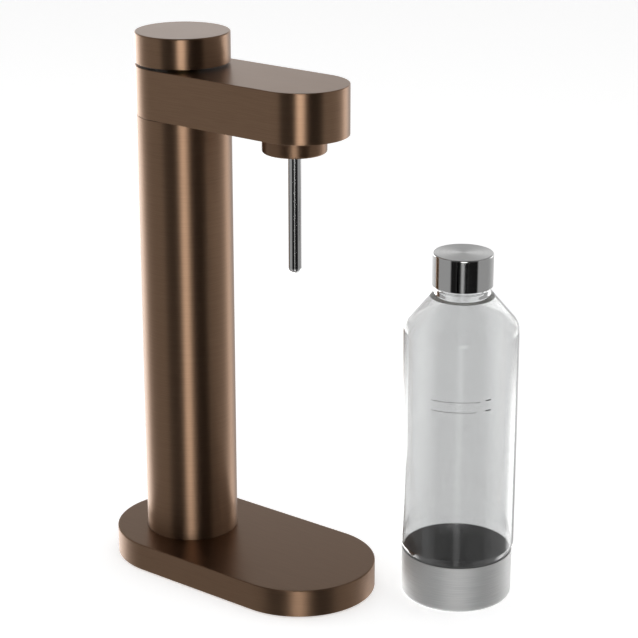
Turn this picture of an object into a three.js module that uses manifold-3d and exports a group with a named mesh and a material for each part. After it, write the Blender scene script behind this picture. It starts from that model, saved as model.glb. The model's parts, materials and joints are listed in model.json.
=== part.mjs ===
// A sparkling water maker with its bottle, in millimetres, +Z up.
// The origin lies on the table, at the centre of the base. The arm points along +X from the column.

import * as THREE from 'three';
import { mergeVertices, toCreasedNormals } from 'three/addons/utils/BufferGeometryUtils.js';
import Module from 'manifold-3d';

// Gaps
const RUNNING_GAP = 0.3; // around a piece that sits or runs in a hole
const SEAT_GAP = 0.1; // between two faces that rest on each other
const SEAM = 0.3; // between column and arm
const OVERRUN = 1; // how far a cutting tool runs past a face

// Whole machine
const TOTAL_HEIGHT = 420;
const KNOB_GAP = 2; // knob's lower edge above the arm
const ARM_HEIGHT = 37.3;

// Base
const BASE_LENGTH = 227.9;
const BASE_WIDTH = 116.9;
const BASE_HEIGHT = 22.3; // table to deck
const BASE_BEHIND_COLUMN = 60.2; // base's rear end to the column's axis
const BASE_WALL = 4;
const BASE_DECK = 4.5;
const BASE_EDGE = 0.9;
const PAD_THICKNESS = 1;
const PAD_INSET = 2.5;
const PLATE_THICKNESS = 2;
const BASE_BOSS_DIAMETER = 10;
const BASE_BOSS_INSET = 11; // a boss's axis from the base's edge
const BASE_BOSS_CLEARANCE = 3; // boss to the column flange
const WEIGHT_CLEARANCE = 3; // ballast weight to the column flange and to the base wall

// Column
const COLUMN_DIAMETER = 71.5;
const COLUMN_WALL = 1.5;
const WELL_CLEARANCE = 1.5; // gas cylinder to the hole that it goes in through
const FLANGE_DIAMETER = 98;
const FLANGE_THICKNESS = 3;
const SPIGOT_HEIGHT = 12;
const GUIDE_HEIGHT = 20;
const GUIDE_CLEARANCE = 0.5;
const TOP_RING_HEIGHT = 14;
const TOP_RING_CLEARANCE = 2.5; // ring and arm cover to the valve block

// Arm
const ARM_PAST_TUBE = 5.7; // tube's axis to the centre of the arm's round front end
const ARM_WALL = 1.8;
const ARM_TOP_WALL = 2;
const ARM_EDGE = 0.6;
const COVER_THICKNESS = 2;
const FRAME_THICKNESS = 4;
const ARM_BOSS_AHEAD = 50; // column's axis to the arm shell's two bosses
const ARM_BOSS_ASIDE = 22;
const ARM_BOSS_DIAMETER = 9;

// Knob
const KNOB_HEIGHT = 22.7;
const KNOB_EDGE = 1.1;
const KNOB_WALL = 1.5;
const KNOB_TOP_WALL = 2;
const KNOB_CORE_RECESS = 1; // core's lower face above the knob's lower edge
const KNOB_CHAMBER_DIAMETER = 28;
const KNOB_CHAMBER_DEPTH = 11.4;
const KNOB_HUB_DIAMETER = 10;
const KNOB_HUB_LENGTH = 8;
const ROD_DIAMETER = 4;
const ROD_SEATING = 2; // how far the rod goes into the core past its chamber
const ROD_GUIDE_DIAMETER = 16;
const ROD_GUIDE_FLANGE_DIAMETER = 24;
const ROD_GUIDE_FLANGE = 2.5;
const CLIP_DIAMETER = 8.8;
const CLIP_THICKNESS = 0.8;
const CLIP_ROOM = 4;
const ROD_SEAL_SECTION = 1.7;
const KNOB_SPRING_DIAMETER = 16;
const KNOB_SPRING_WIRE = 1.2;

// Gas cylinder and its valve
const GAS_CYLINDER_DIAMETER = 60;
const GAS_CYLINDER_WALL = 2.8;
const GAS_CYLINDER_ABOVE_TABLE = 5;
const GAS_CYLINDER_EDGE = 9;
const GAS_SHOULDER_HEIGHT = 34;
const GAS_NECK_DIAMETER = 28;
const GAS_NECK_HEIGHT = 9;
const VALVE_TAIL_DIAMETER = 18;
const VALVE_TAIL_LENGTH = 14;
const VALVE_BODY_DIAMETER = 27;
const VALVE_BODY_HEIGHT = 20;
const VALVE_THREAD_DIAMETER = 20.6;
const VALVE_THREAD_LENGTH = 17;
const VALVE_THREAD_CLEARANCE = 0.5;
const VALVE_RISE = 10.2; // valve's top above the arm's lower face
const PIN_DIAMETER = 3;
const PIN_RISE = 1.8; // pin's top above the valve's top, more than the knob's travel
const PIN_ROD_GAP = 0.2;
const PIN_HEAD_DIAMETER = 7.2;
const PIN_HEAD_HEIGHT = 3.5;
const PIN_CHAMBER_DIAMETER = 8.6;
const PIN_CHAMBER_LENGTH = 30;
const PIN_LIP = 1.4; // inward lip at the valve tail's mouth that the pin spring stands on
const PIN_SPRING_WIRE = 0.9;
const BURST_PLUG_DIAMETER = 7;
const BURST_PLUG_LENGTH = 3.6;
const BURST_SHANK_DIAMETER = 4.4;
const BURST_SHANK_LENGTH = 3;

// Valve block
const BLOCK_DIAMETER = 33;
const BLOCK_CLEARANCE = 1.5; // block above the shoulder of the cylinder's valve
const BLOCK_FLANGE_DIAMETER = 44;
const BLOCK_FLANGE = 4;
const BLOCK_TOWER_DIAMETER = 24;
const BLOCK_TOWER_TOP = 11.6; // arm's top face down to the tower's top
const VALVE_SEAL_THICKNESS = 1.4;
const VALVE_SEAL_BORE = 9;
const GAS_CHAMBER_DIAMETER = 9;
const GAS_CHAMBER_HEIGHT = 6.5;

// Gas pipe
const PIPE_DIAMETER = 4;
const PIPE_WALL = 0.8;
const PIPE_BOSS_DIAMETER = 10;
const BLOCK_BOSS_REACH = 17; // from the valve block's axis
const HEAD_BOSS_REACH = 16; // from the nozzle head's axis
const NUT_ACROSS_CORNERS = 10;
const NUT_LENGTH = 7;
const PIPE_SEATING = 4; // how far the pipe goes into each boss
const PIPE_STRAIGHT = 15;

// Collar, nozzle head and tube
const TUBE_REACH = 106.3; // column's axis to the tube's axis
const COLLAR_DIAMETER = 47.5;
const COLLAR_DROP = 13.9; // below the arm
const COLLAR_WALL = 2.8;
const COLLAR_EDGE = 1.6;
const COLLAR_FLANGE_DIAMETER = 62;
const COLLAR_FLANGE = 3;
const COLLAR_THREAD_SECTION = 2;
const HEAD_FLANGE = 4;
const HEAD_TOWER_DIAMETER = 13;
const HEAD_SPIGOT_DIAMETER = 28.4;
const COLLAR_SEAL_THICKNESS = 2;
const TUBE_DIAMETER = 9.6;
const TUBE_WALL = 1.4;
const TUBE_TIP_HEIGHT = 252.7; // above the table
const TUBE_TIP_LENGTH = 5;
const TUBE_TIP_SPIGOT = 8;
const TUBE_TIP_EDGE = 3.4;
const TUBE_ORIFICE = 1.6;
const TUBE_SEATING = 10; // tube's end above the head's spigot

// Relief valve
const RELIEF_ASIDE = 11.5; // from the nozzle head's axis
const RELIEF_DIAMETER = 9;
const RELIEF_HEIGHT = 13.8;
const RELIEF_BORE = 6;
const RELIEF_SEAT = 2;
const RELIEF_CHANNEL = 2.4;
const POPPET_DIAMETER = 5.2;
const POPPET_THICKNESS = 2;
const POPPET_STEM_DIAMETER = 1.8;
const POPPET_STEM_LENGTH = 3.6;
const RELIEF_SPRING_DIAMETER = 4;
const RELIEF_SPRING_WIRE = 0.6;

// Screws: each has a shank, a head and a socket
const M4 = { shank: 4, head: 6.8, headHeight: 2.6 };
const M3 = { shank: 3, head: 5.6, headHeight: 2.2 };
const LOW_HEAD = 1; // height of the head of a screw that is sunk in a plate
const SCREW_ENGAGEMENT = 3; // how far a screw goes into a deck or a frame
const COVER_SCREW_ENGAGEMENT = 14;
const SOCKET_SHARE = 0.5; // of a head's diameter, and of its height
const FLANGE_SCREW_CIRCLE = 86;
const TOP_SCREW_CIRCLE = 56;
const VALVE_SCREW_CIRCLE = 38.4;
const HEAD_SCREW_CIRCLE = 55;
const TOP_SCREW_ENGAGEMENT = 9;

// Bottle
const BOTTLE_AHEAD = 209.8; // from the column's axis
const BOTTLE_ASIDE = 67.1;
const BOTTLE_DIAMETER = 86.3;
const BOTTLE_WALL = 1.2;
const BOTTLE_MOUTH_HEIGHT = 267.6;
const BOTTLE_SHOULDER_HEIGHT = 216.6; // where the body's side would meet the shoulder's cone
const BOTTLE_SHOULDER_ROUNDING = 14;
const BOTTLE_ROOT_HEIGHT = 244.6; // top of the shoulder
const BOTTLE_ROOT_DIAMETER = 41;
const BOTTLE_ROOT_ROUNDING = 2.5;
const BOTTLE_CONE_TOP_HEIGHT = 243.2;
const BOTTLE_INSIDE_CONE_TOP_HEIGHT = 238; // lower than outside, so the wall is thick at the neck's root
const BOTTLE_WAIST_RISE = 6; // height in which the body widens above the cup
const BOTTLE_HEEL_ROUNDING = 9;
const BOTTLE_PUNT = 6; // how far the bottom is pushed up in the middle
const NECK_DIAMETER = 38.8;
const NECK_WALL = 1.9;
const NECK_THREAD_SECTION = 2.2;
const NECK_THREAD_PITCH = 4.4;
const NECK_THREAD_START = 7; // below the mouth
const CUP_DIAMETER = 83.8;
const CUP_HEIGHT = 36.9;
const CUP_WALL = 0.8;
const CUP_EDGE = 4;

// Bottle cap
const CAP_DIAMETER = 45;
const CAP_HEIGHT = 24.9;
const CAP_TOP_WALL = 0.8;
const CAP_WALL = 0.7;
const CAP_EDGE = 0.9;
const CAP_CORE_TOP_WALL = 1.4;
const CAP_CORE_RECESS = 0.6; // core's rim above the shell's rim
const CAP_SEAL_THICKNESS = 1.3;

// Counts
const FINE_SIDES = 48;
const SHOWN_SIDES = 32;
const ROUND_SIDES = 24;
const SMALL_SIDES = 14;
const TINY_SIDES = 8;
const SCREW_SIDES = 6;
const NUT_SIDES = 6;
const ARC_STEPS = 3;
const HIDDEN_ARC_STEPS = 2;
const WIRE_SIDES = 5;
const STEPS_PER_TURN = 8;
const THREAD_STEPS_PER_TURN = 16;
const PIPE_STEPS = 14;
const KNOB_SPRING_TURNS = 4;
const PIN_SPRING_TURNS = 5;
const RELIEF_SPRING_TURNS = 4;
const NECK_THREAD_TURNS = 1.4;
const FLANGE_SCREWS = 3;
const TOP_SCREWS = 3;

// Heights that follow from the sizes above
const armTop = TOTAL_HEIGHT - KNOB_HEIGHT - KNOB_GAP;
const armBottom = armTop - ARM_HEIGHT;
const knobBottom = armTop + KNOB_GAP;
const deckUnderside = BASE_HEIGHT - BASE_DECK;
const plateBottom = PAD_THICKNESS + SEAT_GAP;
const plateTop = plateBottom + PLATE_THICKNESS;
const flangeTop = deckUnderside - SEAT_GAP;
const columnBottom = flangeTop + SEAT_GAP;
const columnTop = armBottom - SEAM;
const coverTop = armBottom + COVER_THICKNESS;
const frameBottom = coverTop + SEAT_GAP;
const frameTop = frameBottom + FRAME_THICKNESS;
const valveTop = armBottom + VALVE_RISE;
const valveShoulder = valveTop - VALVE_THREAD_LENGTH;
const gasNeckTop = valveShoulder - VALVE_BODY_HEIGHT - SEAT_GAP;
const blockBottom = valveShoulder + BLOCK_CLEARANCE;
const blockFlangeBottom = frameTop + SEAT_GAP;
const blockFlangeTop = blockFlangeBottom + BLOCK_FLANGE;
const blockTop = armTop - BLOCK_TOWER_TOP;
const gasChamberBottom = valveTop + VALVE_SEAL_THICKNESS + 2 * SEAT_GAP;
const gasChamberTop = gasChamberBottom + GAS_CHAMBER_HEIGHT;
const blockOutletHeight = (gasChamberBottom + gasChamberTop) / 2;
const rodGuideTop = armTop + SEAT_GAP + ROD_GUIDE_FLANGE;
const rodGuideBottom = blockTop + SEAT_GAP;
const collarBottom = armBottom - COLLAR_DROP;
const collarFlangeBottom = frameTop + SEAT_GAP;
const collarTop = collarFlangeBottom + COLLAR_FLANGE;
const headBottom = collarTop + SEAT_GAP;
const headFlangeTop = headBottom + HEAD_FLANGE;
const headSpigotBottom = headBottom - COLLAR_SEAL_THICKNESS;
const tubeTop = headSpigotBottom + TUBE_SEATING;
const headInletHeight = tubeTop + RUNNING_GAP + PIPE_DIAMETER / 2;
const headTop = headInletHeight + PIPE_BOSS_DIAMETER / 2;
const pinTop = valveTop + PIN_RISE;
const rodBottom = pinTop + PIN_ROD_GAP;
const knobCoreBottom = knobBottom + KNOB_CORE_RECESS;
const knobCoreTop = TOTAL_HEIGHT - KNOB_TOP_WALL - SEAT_GAP;
const knobChamberTop = knobCoreBottom + KNOB_CHAMBER_DEPTH;
const capTop = BOTTLE_MOUTH_HEIGHT + CAP_SEAL_THICKNESS + CAP_CORE_TOP_WALL + CAP_TOP_WALL + 3 * SEAT_GAP;
const capBottom = capTop - CAP_HEIGHT;

// Radii and places that follow from them
const columnX = BASE_BEHIND_COLUMN - BASE_LENGTH / 2;
const columnRadius = COLUMN_DIAMETER / 2;
const armReach = TUBE_REACH + ARM_PAST_TUBE;
const columnBore = columnRadius - COLUMN_WALL;
const insertRadius = columnBore - RUNNING_GAP;
const wellRadius = GAS_CYLINDER_DIAMETER / 2 + WELL_CLEARANCE;
const armInside = columnRadius - ARM_WALL;
const armInsertRadius = armInside - RUNNING_GAP;
const collarRadius = COLLAR_DIAMETER / 2;
const collarBore = collarRadius - COLLAR_WALL;
const collarHole = collarRadius + RUNNING_GAP;
const blockHole = BLOCK_DIAMETER / 2 + RUNNING_GAP;
const blockWell = BLOCK_DIAMETER / 2 + TOP_RING_CLEARANCE;
const rodBore = ROD_DIAMETER / 2 + RUNNING_GAP;
const pipeBore = PIPE_DIAMETER / 2 + RUNNING_GAP;
const baseEndRadius = BASE_WIDTH / 2;
const baseSpan = BASE_LENGTH - BASE_WIDTH;
const cupBore = CUP_DIAMETER / 2 - CUP_WALL;
const bottleHeelRadius = cupBore - RUNNING_GAP;

// Finishes
const finish = (color, roughness, metalness) => (
  new THREE.MeshStandardMaterial({ color, roughness, metalness }));
const bronzeSteel = finish(0x6a5646, 0.36, 1);
const polishedSteel = finish(0xb9bbbd, 0.14, 1);
const brushedSteel = finish(0xa6a7a8, 0.32, 1);
const plainSteel = finish(0x8c8f92, 0.4, 1);
const springSteel = finish(0x9a9c9e, 0.3, 1);
const brass = finish(0xb08d4a, 0.35, 1);
const aluminium = finish(0xa9adb0, 0.45, 1);
const castMetal = finish(0x5c5e60, 0.6, 1);
const darkPlastic = finish(0x1f2022, 0.5, 0);
const palePlastic = finish(0xd6d4cd, 0.5, 0);
const darkRubber = finish(0x151516, 0.85, 0);
const paleSilicone = finish(0xd9dcdc, 0.6, 0);
const clearPlastic = new THREE.MeshStandardMaterial({
  color: 0xe8eeee, roughness: 0.08, metalness: 0, transparent: true, opacity: 0.35,
});

// Solids: a closed geometry becomes a solid, is cut or joined, and becomes a geometry again
const wasm = await Module();
wasm.setup();

function solidOf(geometry) {
  const bare = geometry.clone();
  bare.deleteAttribute('normal');
  bare.deleteAttribute('uv');
  const merged = mergeVertices(bare);
  const { array } = merged.index;
  const corners = [];
  for (let i = 0; i < array.length; i += 3) {
    const [a, b, c] = [array[i], array[i + 1], array[i + 2]];
    if (a !== b && b !== c && c !== a) corners.push(a, b, c);
  }
  const vertProperties = merged.attributes.position.array;
  const triVerts = Uint32Array.from(corners);
  return new wasm.Manifold(new wasm.Mesh({ numProp: 3, vertProperties, triVerts }));
}

function geometryOf(solid) {
  const { vertProperties, triVerts } = solid.getMesh();
  const geometry = new THREE.BufferGeometry();
  geometry.setAttribute('position', new THREE.BufferAttribute(vertProperties, 3));
  geometry.setIndex(new THREE.BufferAttribute(triVerts, 1));
  return geometry;
}

const cut = (body, ...tools) => (
  geometryOf(tools.reduce((left, tool) => left.subtract(solidOf(tool)), solidOf(body))));
const join = (first, ...others) => (
  geometryOf(others.reduce((all, other) => all.add(solidOf(other)), solidOf(first))));

// Shapes

const CREASE_ANGLE = Math.PI / 5; // faces that meet at more than this keep a hard edge

// An outline of corners [r, z] or [r, z, rounding]; a corner with a rounding becomes an arc
function outline(corners, steps = ARC_STEPS) {
  const count = corners.length;
  const points = [];
  corners.forEach(([r, z, rounding], i) => {
    const corner = new THREE.Vector2(r, z);
    if (!rounding) {
      points.push(corner);
      return;
    }
    const back = new THREE.Vector2(...corners[(i + count - 1) % count]).sub(corner).normalize();
    const ahead = new THREE.Vector2(...corners[(i + 1) % count]).sub(corner).normalize();
    const half = Math.acos(back.dot(ahead)) / 2;
    const middle = back.clone().add(ahead).normalize();
    const centre = corner.clone().addScaledVector(middle, rounding / Math.sin(half));
    const start = corner.clone().addScaledVector(back, rounding / Math.tan(half)).sub(centre);
    const end = corner.clone().addScaledVector(ahead, rounding / Math.tan(half)).sub(centre);
    const sweep = Math.atan2(start.x * end.y - start.y * end.x, start.dot(end));
    for (let k = 0; k <= steps; k += 1) {
      points.push(start.clone().rotateAround(new THREE.Vector2(), sweep * k / steps).add(centre));
    }
  });
  return points;
}

// A turned piece about Z. Its corners run from the axis at the bottom, outside, to the axis at the top
function turned(corners, sides = ROUND_SIDES, steps = ARC_STEPS) {
  return new THREE.LatheGeometry(outline(corners, steps), sides).rotateX(Math.PI / 2);
}

// A turned ring, whose outline closes on itself
function turnedRing(corners, sides = ROUND_SIDES, steps = ARC_STEPS) {
  const points = outline(corners, steps);
  return new THREE.LatheGeometry([...points, points[0].clone()], sides).rotateX(Math.PI / 2);
}

// A plain ring or sleeve between two heights
function sleeve(outer, inner, bottom, top, sides = ROUND_SIDES) {
  return turnedRing([[inner, bottom], [outer, bottom], [outer, top], [inner, top]], sides);
}

// A round bar or drill along Z
function rod(radius, bottom, top, sides = SMALL_SIDES, x = 0, y = 0) {
  return new THREE.CylinderGeometry(radius, radius, top - bottom, sides)
    .rotateX(Math.PI / 2)
    .translate(x, y, (bottom + top) / 2);
}

// A round bar or drill along X
function crossRod(radius, from, to, height, sides = SMALL_SIDES) {
  return new THREE.CylinderGeometry(radius, radius, to - from, sides)
    .rotateZ(Math.PI / 2)
    .translate((from + to) / 2, 0, height);
}

// A flat outline with round ends, whose rear end is centred on the origin
function roundEnded(radius, span) {
  const shape = new THREE.Shape();
  shape.absarc(0, 0, radius, Math.PI / 2, 3 * Math.PI / 2, false);
  shape.absarc(span, 0, radius, -Math.PI / 2, Math.PI / 2, false);
  shape.closePath();
  return shape;
}

// A slab of that outline between two heights, with its two rims rounded
function slab(radius, span, bottom, top, edge = 0, sides = FINE_SIDES) {
  const settings = {
    depth: top - bottom - 2 * edge,
    curveSegments: sides / 2,
    bevelEnabled: edge > 0,
    bevelThickness: edge,
    bevelSize: edge,
    bevelOffset: -edge,
    bevelSegments: 1,
  };
  return new THREE.ExtrudeGeometry(roundEnded(radius, span), settings).translate(0, 0, bottom + edge);
}

class Helix extends THREE.Curve {
  constructor(radius, rise, turns) {
    super();
    Object.assign(this, { radius, rise, turns });
  }

  getPoint(t, target = new THREE.Vector3()) {
    const angle = 2 * Math.PI * this.turns * t;
    return target.set(this.radius * Math.cos(angle), this.radius * Math.sin(angle), this.rise * t);
  }
}

// A many-sided section for a wire or a pipe, with a bore where one is given
function wireSection(radius, sides, bore = 0) {
  const ring = (size) => Array.from({ length: sides }, (_, i) => {
    const angle = 2 * Math.PI * i / sides;
    return new THREE.Vector2(size * Math.cos(angle), size * Math.sin(angle));
  });
  const shape = new THREE.Shape(ring(radius));
  if (bore > 0) shape.holes.push(new THREE.Path(ring(bore)));
  return shape;
}

function along(path, section, steps) {
  return new THREE.ExtrudeGeometry(section, { extrudePath: path, steps, bevelEnabled: false });
}

// A coil spring between two heights. It prints the least gap from one turn to the next
function coil(name, diameter, wire, turns, bottom, top) {
  const path = new Helix(diameter / 2, top - bottom - wire, turns);
  const points = path.getPoints(turns * STEPS_PER_TURN);
  let least = Infinity;
  points.forEach((here, i) => points.slice(i + STEPS_PER_TURN / 2).forEach((there) => {
    least = Math.min(least, here.distanceTo(there) - wire);
  }));
  console.log(`${name}: least gap between turns ${least.toFixed(2)} mm`);
  return along(path, wireSection(wire / 2, WIRE_SIDES), turns * STEPS_PER_TURN)
    .translate(0, 0, bottom + wire / 2);
}

// Places on a circle, as [x, y]
function around(count, circle, turn = 0) {
  return Array.from({ length: count }, (_, i) => {
    const angle = turn + 2 * Math.PI * i / count;
    return [circle / 2 * Math.cos(angle), circle / 2 * Math.sin(angle)];
  });
}

function piece(name, geometry, material) {
  const mesh = new THREE.Mesh(toCreasedNormals(geometry, CREASE_ANGLE), material);
  mesh.name = name;
  return mesh;
}

function groupOf(pieces, x = 0, y = 0) {
  const group = new THREE.Group();
  group.add(...pieces);
  group.position.set(x, y, 0);
  return group;
}

// A screw whose head stands on the plane z and whose shank points down, or up if it is turned over
function screw(name, size, length, x, y, z, upward = false) {
  const socket = size.head / 2 * SOCKET_SHARE;
  const geometry = turned([
    [0, -length], [size.shank / 2, -length], [size.shank / 2, 0], [size.head / 2, 0],
    [size.head / 2, size.headHeight], [socket, size.headHeight],
    [socket, size.headHeight * SOCKET_SHARE], [0, size.headHeight * SOCKET_SHARE],
  ], SCREW_SIDES);
  const mesh = piece(name, geometry, plainSteel);
  mesh.position.set(x, y, z);
  if (upward) mesh.rotation.x = Math.PI;
  return mesh;
}

const screwHole = (size, x, y, bottom, top) => (
  rod(size.shank / 2 + RUNNING_GAP, bottom, top, TINY_SIDES, x, y));

// A screw whose low head lies in a sink of a plate, flush with the plate's lower face, and the sink
const lowHeaded = (size) => ({ ...size, headHeight: LOW_HEAD });
const screwSink = (size, x, y, plateFace) => (
  rod(size.head / 2 + RUNNING_GAP, plateFace - OVERRUN, plateFace + LOW_HEAD + SEAT_GAP, TINY_SIDES, x, y));

// Base, in the column's frame: the rear end's centre lies a little behind the column's axis
const baseRear = baseEndRadius - BASE_BEHIND_COLUMN;
const bossReach = baseEndRadius - BASE_BOSS_INSET;

// The two rear bosses stand beside the column, or as far ahead of it as the flange needs
const rearBossX = (() => {
  const room = (FLANGE_DIAMETER + BASE_BOSS_DIAMETER) / 2 + BASE_BOSS_CLEARANCE;
  return Math.sqrt(Math.max(room ** 2 - bossReach ** 2, 0));
})();
const baseBosses = (() => {
  const diagonal = bossReach * Math.SQRT1_2;
  return [
    [rearBossX, bossReach], [rearBossX, -bossReach],
    [baseRear + baseSpan + diagonal, diagonal], [baseRear + baseSpan + diagonal, -diagonal],
  ];
})();
const flangeScrewPlaces = around(FLANGE_SCREWS, FLANGE_SCREW_CIRCLE);

function baseSlab(radius, bottom, top, edge = 0, sides = ROUND_SIDES) {
  return slab(radius, baseSpan, bottom, top, edge, sides).translate(baseRear, 0, 0);
}

function footPad() {
  const pad = baseSlab(baseEndRadius - PAD_INSET, 0, PAD_THICKNESS);
  const well = rod(wellRadius, -OVERRUN, PAD_THICKNESS + OVERRUN, ROUND_SIDES);
  return piece('foot_pad', cut(pad, well), darkRubber);
}

function basePlate() {
  const plate = baseSlab(baseEndRadius - BASE_WALL - RUNNING_GAP, plateBottom, plateTop);
  const well = rod(wellRadius, 0, plateTop + OVERRUN, ROUND_SIDES);
  const sinks = baseBosses.map(([x, y]) => screwSink(M4, x, y, plateBottom));
  const holes = baseBosses.map(([x, y]) => screwHole(M4, x, y, plateBottom, plateTop + OVERRUN));
  return piece('base_plate', cut(plate, well, ...sinks, ...holes), plainSteel);
}

// Four screws hold the plate up against the shell's bosses, with their low heads sunk in the plate
function baseScrews() {
  const seat = plateBottom + LOW_HEAD;
  const length = deckUnderside - SCREW_ENGAGEMENT - seat;
  return baseBosses.map(([x, y], i) => (
    screw(`base_screw_${i + 1}`, lowHeaded(M4), length, x, y, seat, true)));
}

function baseShell() {
  const outside = baseSlab(baseEndRadius, plateBottom, BASE_HEIGHT, BASE_EDGE, FINE_SIDES);
  const inside = baseSlab(baseEndRadius - BASE_WALL, plateBottom - OVERRUN, deckUnderside);
  const bosses = baseBosses.map(([x, y]) => (
    rod(BASE_BOSS_DIAMETER / 2, plateTop + SEAT_GAP, deckUnderside + OVERRUN, SMALL_SIDES, x, y)));
  const bossHoles = baseBosses.map(([x, y]) => screwHole(M4, x, y, plateTop, deckUnderside));
  const columnHoleRadius = columnRadius + RUNNING_GAP;
  const columnHole = rod(columnHoleRadius, deckUnderside - OVERRUN, BASE_HEIGHT + OVERRUN, FINE_SIDES);
  const blindHoles = flangeScrewPlaces.map(([x, y]) => (
    screwHole(M4, x, y, deckUnderside - OVERRUN, deckUnderside + SCREW_ENGAGEMENT + RUNNING_GAP)));
  const shell = join(cut(outside, inside), ...bosses);
  return piece('base_shell', cut(shell, columnHole, ...blindHoles, ...bossHoles), bronzeSteel);
}

function baseWeight() {
  const radius = baseEndRadius - BASE_WALL - WEIGHT_CLEARANCE;
  const bottom = plateTop + SEAT_GAP;
  const block = baseSlab(radius, bottom, deckUnderside - RUNNING_GAP);
  const flangeRoom = rod(FLANGE_DIAMETER / 2 + WEIGHT_CLEARANCE, 0, BASE_HEIGHT, ROUND_SIDES);
  const rearEnd = rearBossX + BASE_BOSS_DIAMETER / 2 + WEIGHT_CLEARANCE;
  const rearRoom = new THREE.BoxGeometry(BASE_LENGTH, 2 * BASE_WIDTH, 2 * BASE_HEIGHT)
    .translate(rearEnd - BASE_LENGTH / 2, 0, 0);
  const bossRoom = baseBosses.map(([x, y]) => (
    rod(BASE_BOSS_DIAMETER / 2 + WEIGHT_CLEARANCE, 0, BASE_HEIGHT, SMALL_SIDES, x, y)));
  return piece('base_weight', cut(block, flangeRoom, rearRoom, ...bossRoom), castMetal);
}

// Column

function columnFlange() {
  const bottom = flangeTop - FLANGE_THICKNESS;
  const ring = turnedRing([
    [wellRadius, bottom], [FLANGE_DIAMETER / 2, bottom], [FLANGE_DIAMETER / 2, flangeTop],
    [insertRadius, flangeTop], [insertRadius, flangeTop + SPIGOT_HEIGHT],
    [wellRadius, flangeTop + SPIGOT_HEIGHT],
  ]);
  const holes = flangeScrewPlaces.map(([x, y]) => (
    screwHole(M4, x, y, bottom - OVERRUN, flangeTop + OVERRUN)));
  return piece('column_flange', cut(ring, ...holes), plainSteel);
}

function flangeScrews() {
  const seat = flangeTop - FLANGE_THICKNESS - SEAT_GAP;
  const length = FLANGE_THICKNESS + SCREW_ENGAGEMENT;
  return flangeScrewPlaces.map(([x, y], i) => (
    screw(`flange_screw_${i + 1}`, M4, length, x, y, seat, true)));
}

function columnTube() {
  const tube = sleeve(columnRadius, columnBore, columnBottom, columnTop, FINE_SIDES);
  return piece('column_tube', tube, bronzeSteel);
}

function cylinderGuide() {
  const bottom = flangeTop + SPIGOT_HEIGHT + SEAT_GAP;
  const bore = GAS_CYLINDER_DIAMETER / 2 + GUIDE_CLEARANCE;
  const guide = turnedRing([
    [wellRadius, bottom], [insertRadius, bottom], [insertRadius, bottom + GUIDE_HEIGHT],
    [bore, bottom + GUIDE_HEIGHT], [bore, bottom + GUIDE_HEIGHT / 2],
  ]);
  return piece('cylinder_guide', guide, darkPlastic);
}

const topScrewPlaces = around(TOP_SCREWS, TOP_SCREW_CIRCLE);

function columnTopRing() {
  const bottom = columnTop - TOP_RING_HEIGHT;
  const ring = sleeve(insertRadius, blockWell, bottom, columnTop);
  const holes = topScrewPlaces.map(([x, y]) => screwHole(M4, x, y, bottom - OVERRUN, columnTop + OVERRUN));
  return piece('column_top_ring', cut(ring, ...holes), aluminium);
}

function topScrews() {
  const length = frameTop - columnTop + TOP_SCREW_ENGAGEMENT;
  const seat = frameTop + SEAT_GAP;
  return topScrewPlaces.map(([x, y], i) => screw(`top_screw_${i + 1}`, M4, length, x, y, seat));
}

// Arm

const armBosses = [[ARM_BOSS_AHEAD, ARM_BOSS_ASIDE], [ARM_BOSS_AHEAD, -ARM_BOSS_ASIDE]];
const headScrewPlaces = around(2, HEAD_SCREW_CIRCLE, Math.PI / 2).map(([x, y]) => [TUBE_REACH + x, y]);
const valveScrewPlaces = around(2, VALVE_SCREW_CIRCLE, Math.PI / 2);

function armCover() {
  const plate = slab(armInsertRadius, armReach, armBottom, coverTop);
  const through = [armBottom - OVERRUN, coverTop + OVERRUN];
  const wide = topScrewPlaces.map(([x, y]) => screwHole(M4, x, y, ...through));
  const narrow = armBosses.map(([x, y]) => screwHole(M3, x, y, ...through));
  const sinks = armBosses.map(([x, y]) => screwSink(M3, x, y, armBottom));
  const openings = [
    rod(blockWell, ...through, ROUND_SIDES),
    rod(collarHole, ...through, ROUND_SIDES, TUBE_REACH),
  ];
  return piece('arm_cover', cut(plate, ...openings, ...wide, ...narrow, ...sinks), bronzeSteel);
}

function armFrame() {
  const plate = slab(armInsertRadius, armReach, frameBottom, frameTop, 0, ROUND_SIDES);
  const through = [frameBottom - OVERRUN, frameTop + OVERRUN];
  const wide = topScrewPlaces.map(([x, y]) => screwHole(M4, x, y, ...through));
  const narrow = [...armBosses, ...headScrewPlaces, ...valveScrewPlaces]
    .map(([x, y]) => screwHole(M3, x, y, ...through));
  const openings = [
    rod(blockHole, ...through, ROUND_SIDES),
    rod(collarHole, ...through, ROUND_SIDES, TUBE_REACH),
  ];
  return piece('arm_frame', cut(plate, ...openings, ...wide, ...narrow), castMetal);
}

function armShell() {
  const outside = slab(columnRadius, armReach, armBottom, armTop, ARM_EDGE);
  const ceiling = armTop - ARM_TOP_WALL;
  const inside = slab(armInside, armReach, armBottom - OVERRUN, ceiling, 0, FINE_SIDES);
  const bossBottom = frameTop + SEAT_GAP;
  const bosses = armBosses.map(([x, y]) => (
    rod(ARM_BOSS_DIAMETER / 2, bossBottom, ceiling + ARM_TOP_WALL / 2, SMALL_SIDES, x, y)));
  const bossHoles = armBosses.map(([x, y]) => screwHole(M3, x, y, bossBottom - OVERRUN, ceiling));
  const guideHole = rod(ROD_GUIDE_DIAMETER / 2 + RUNNING_GAP, ceiling - OVERRUN, armTop + OVERRUN);
  const shell = join(cut(outside, inside), ...bosses);
  return piece('arm_shell', cut(shell, guideHole, ...bossHoles), bronzeSteel);
}

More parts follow.
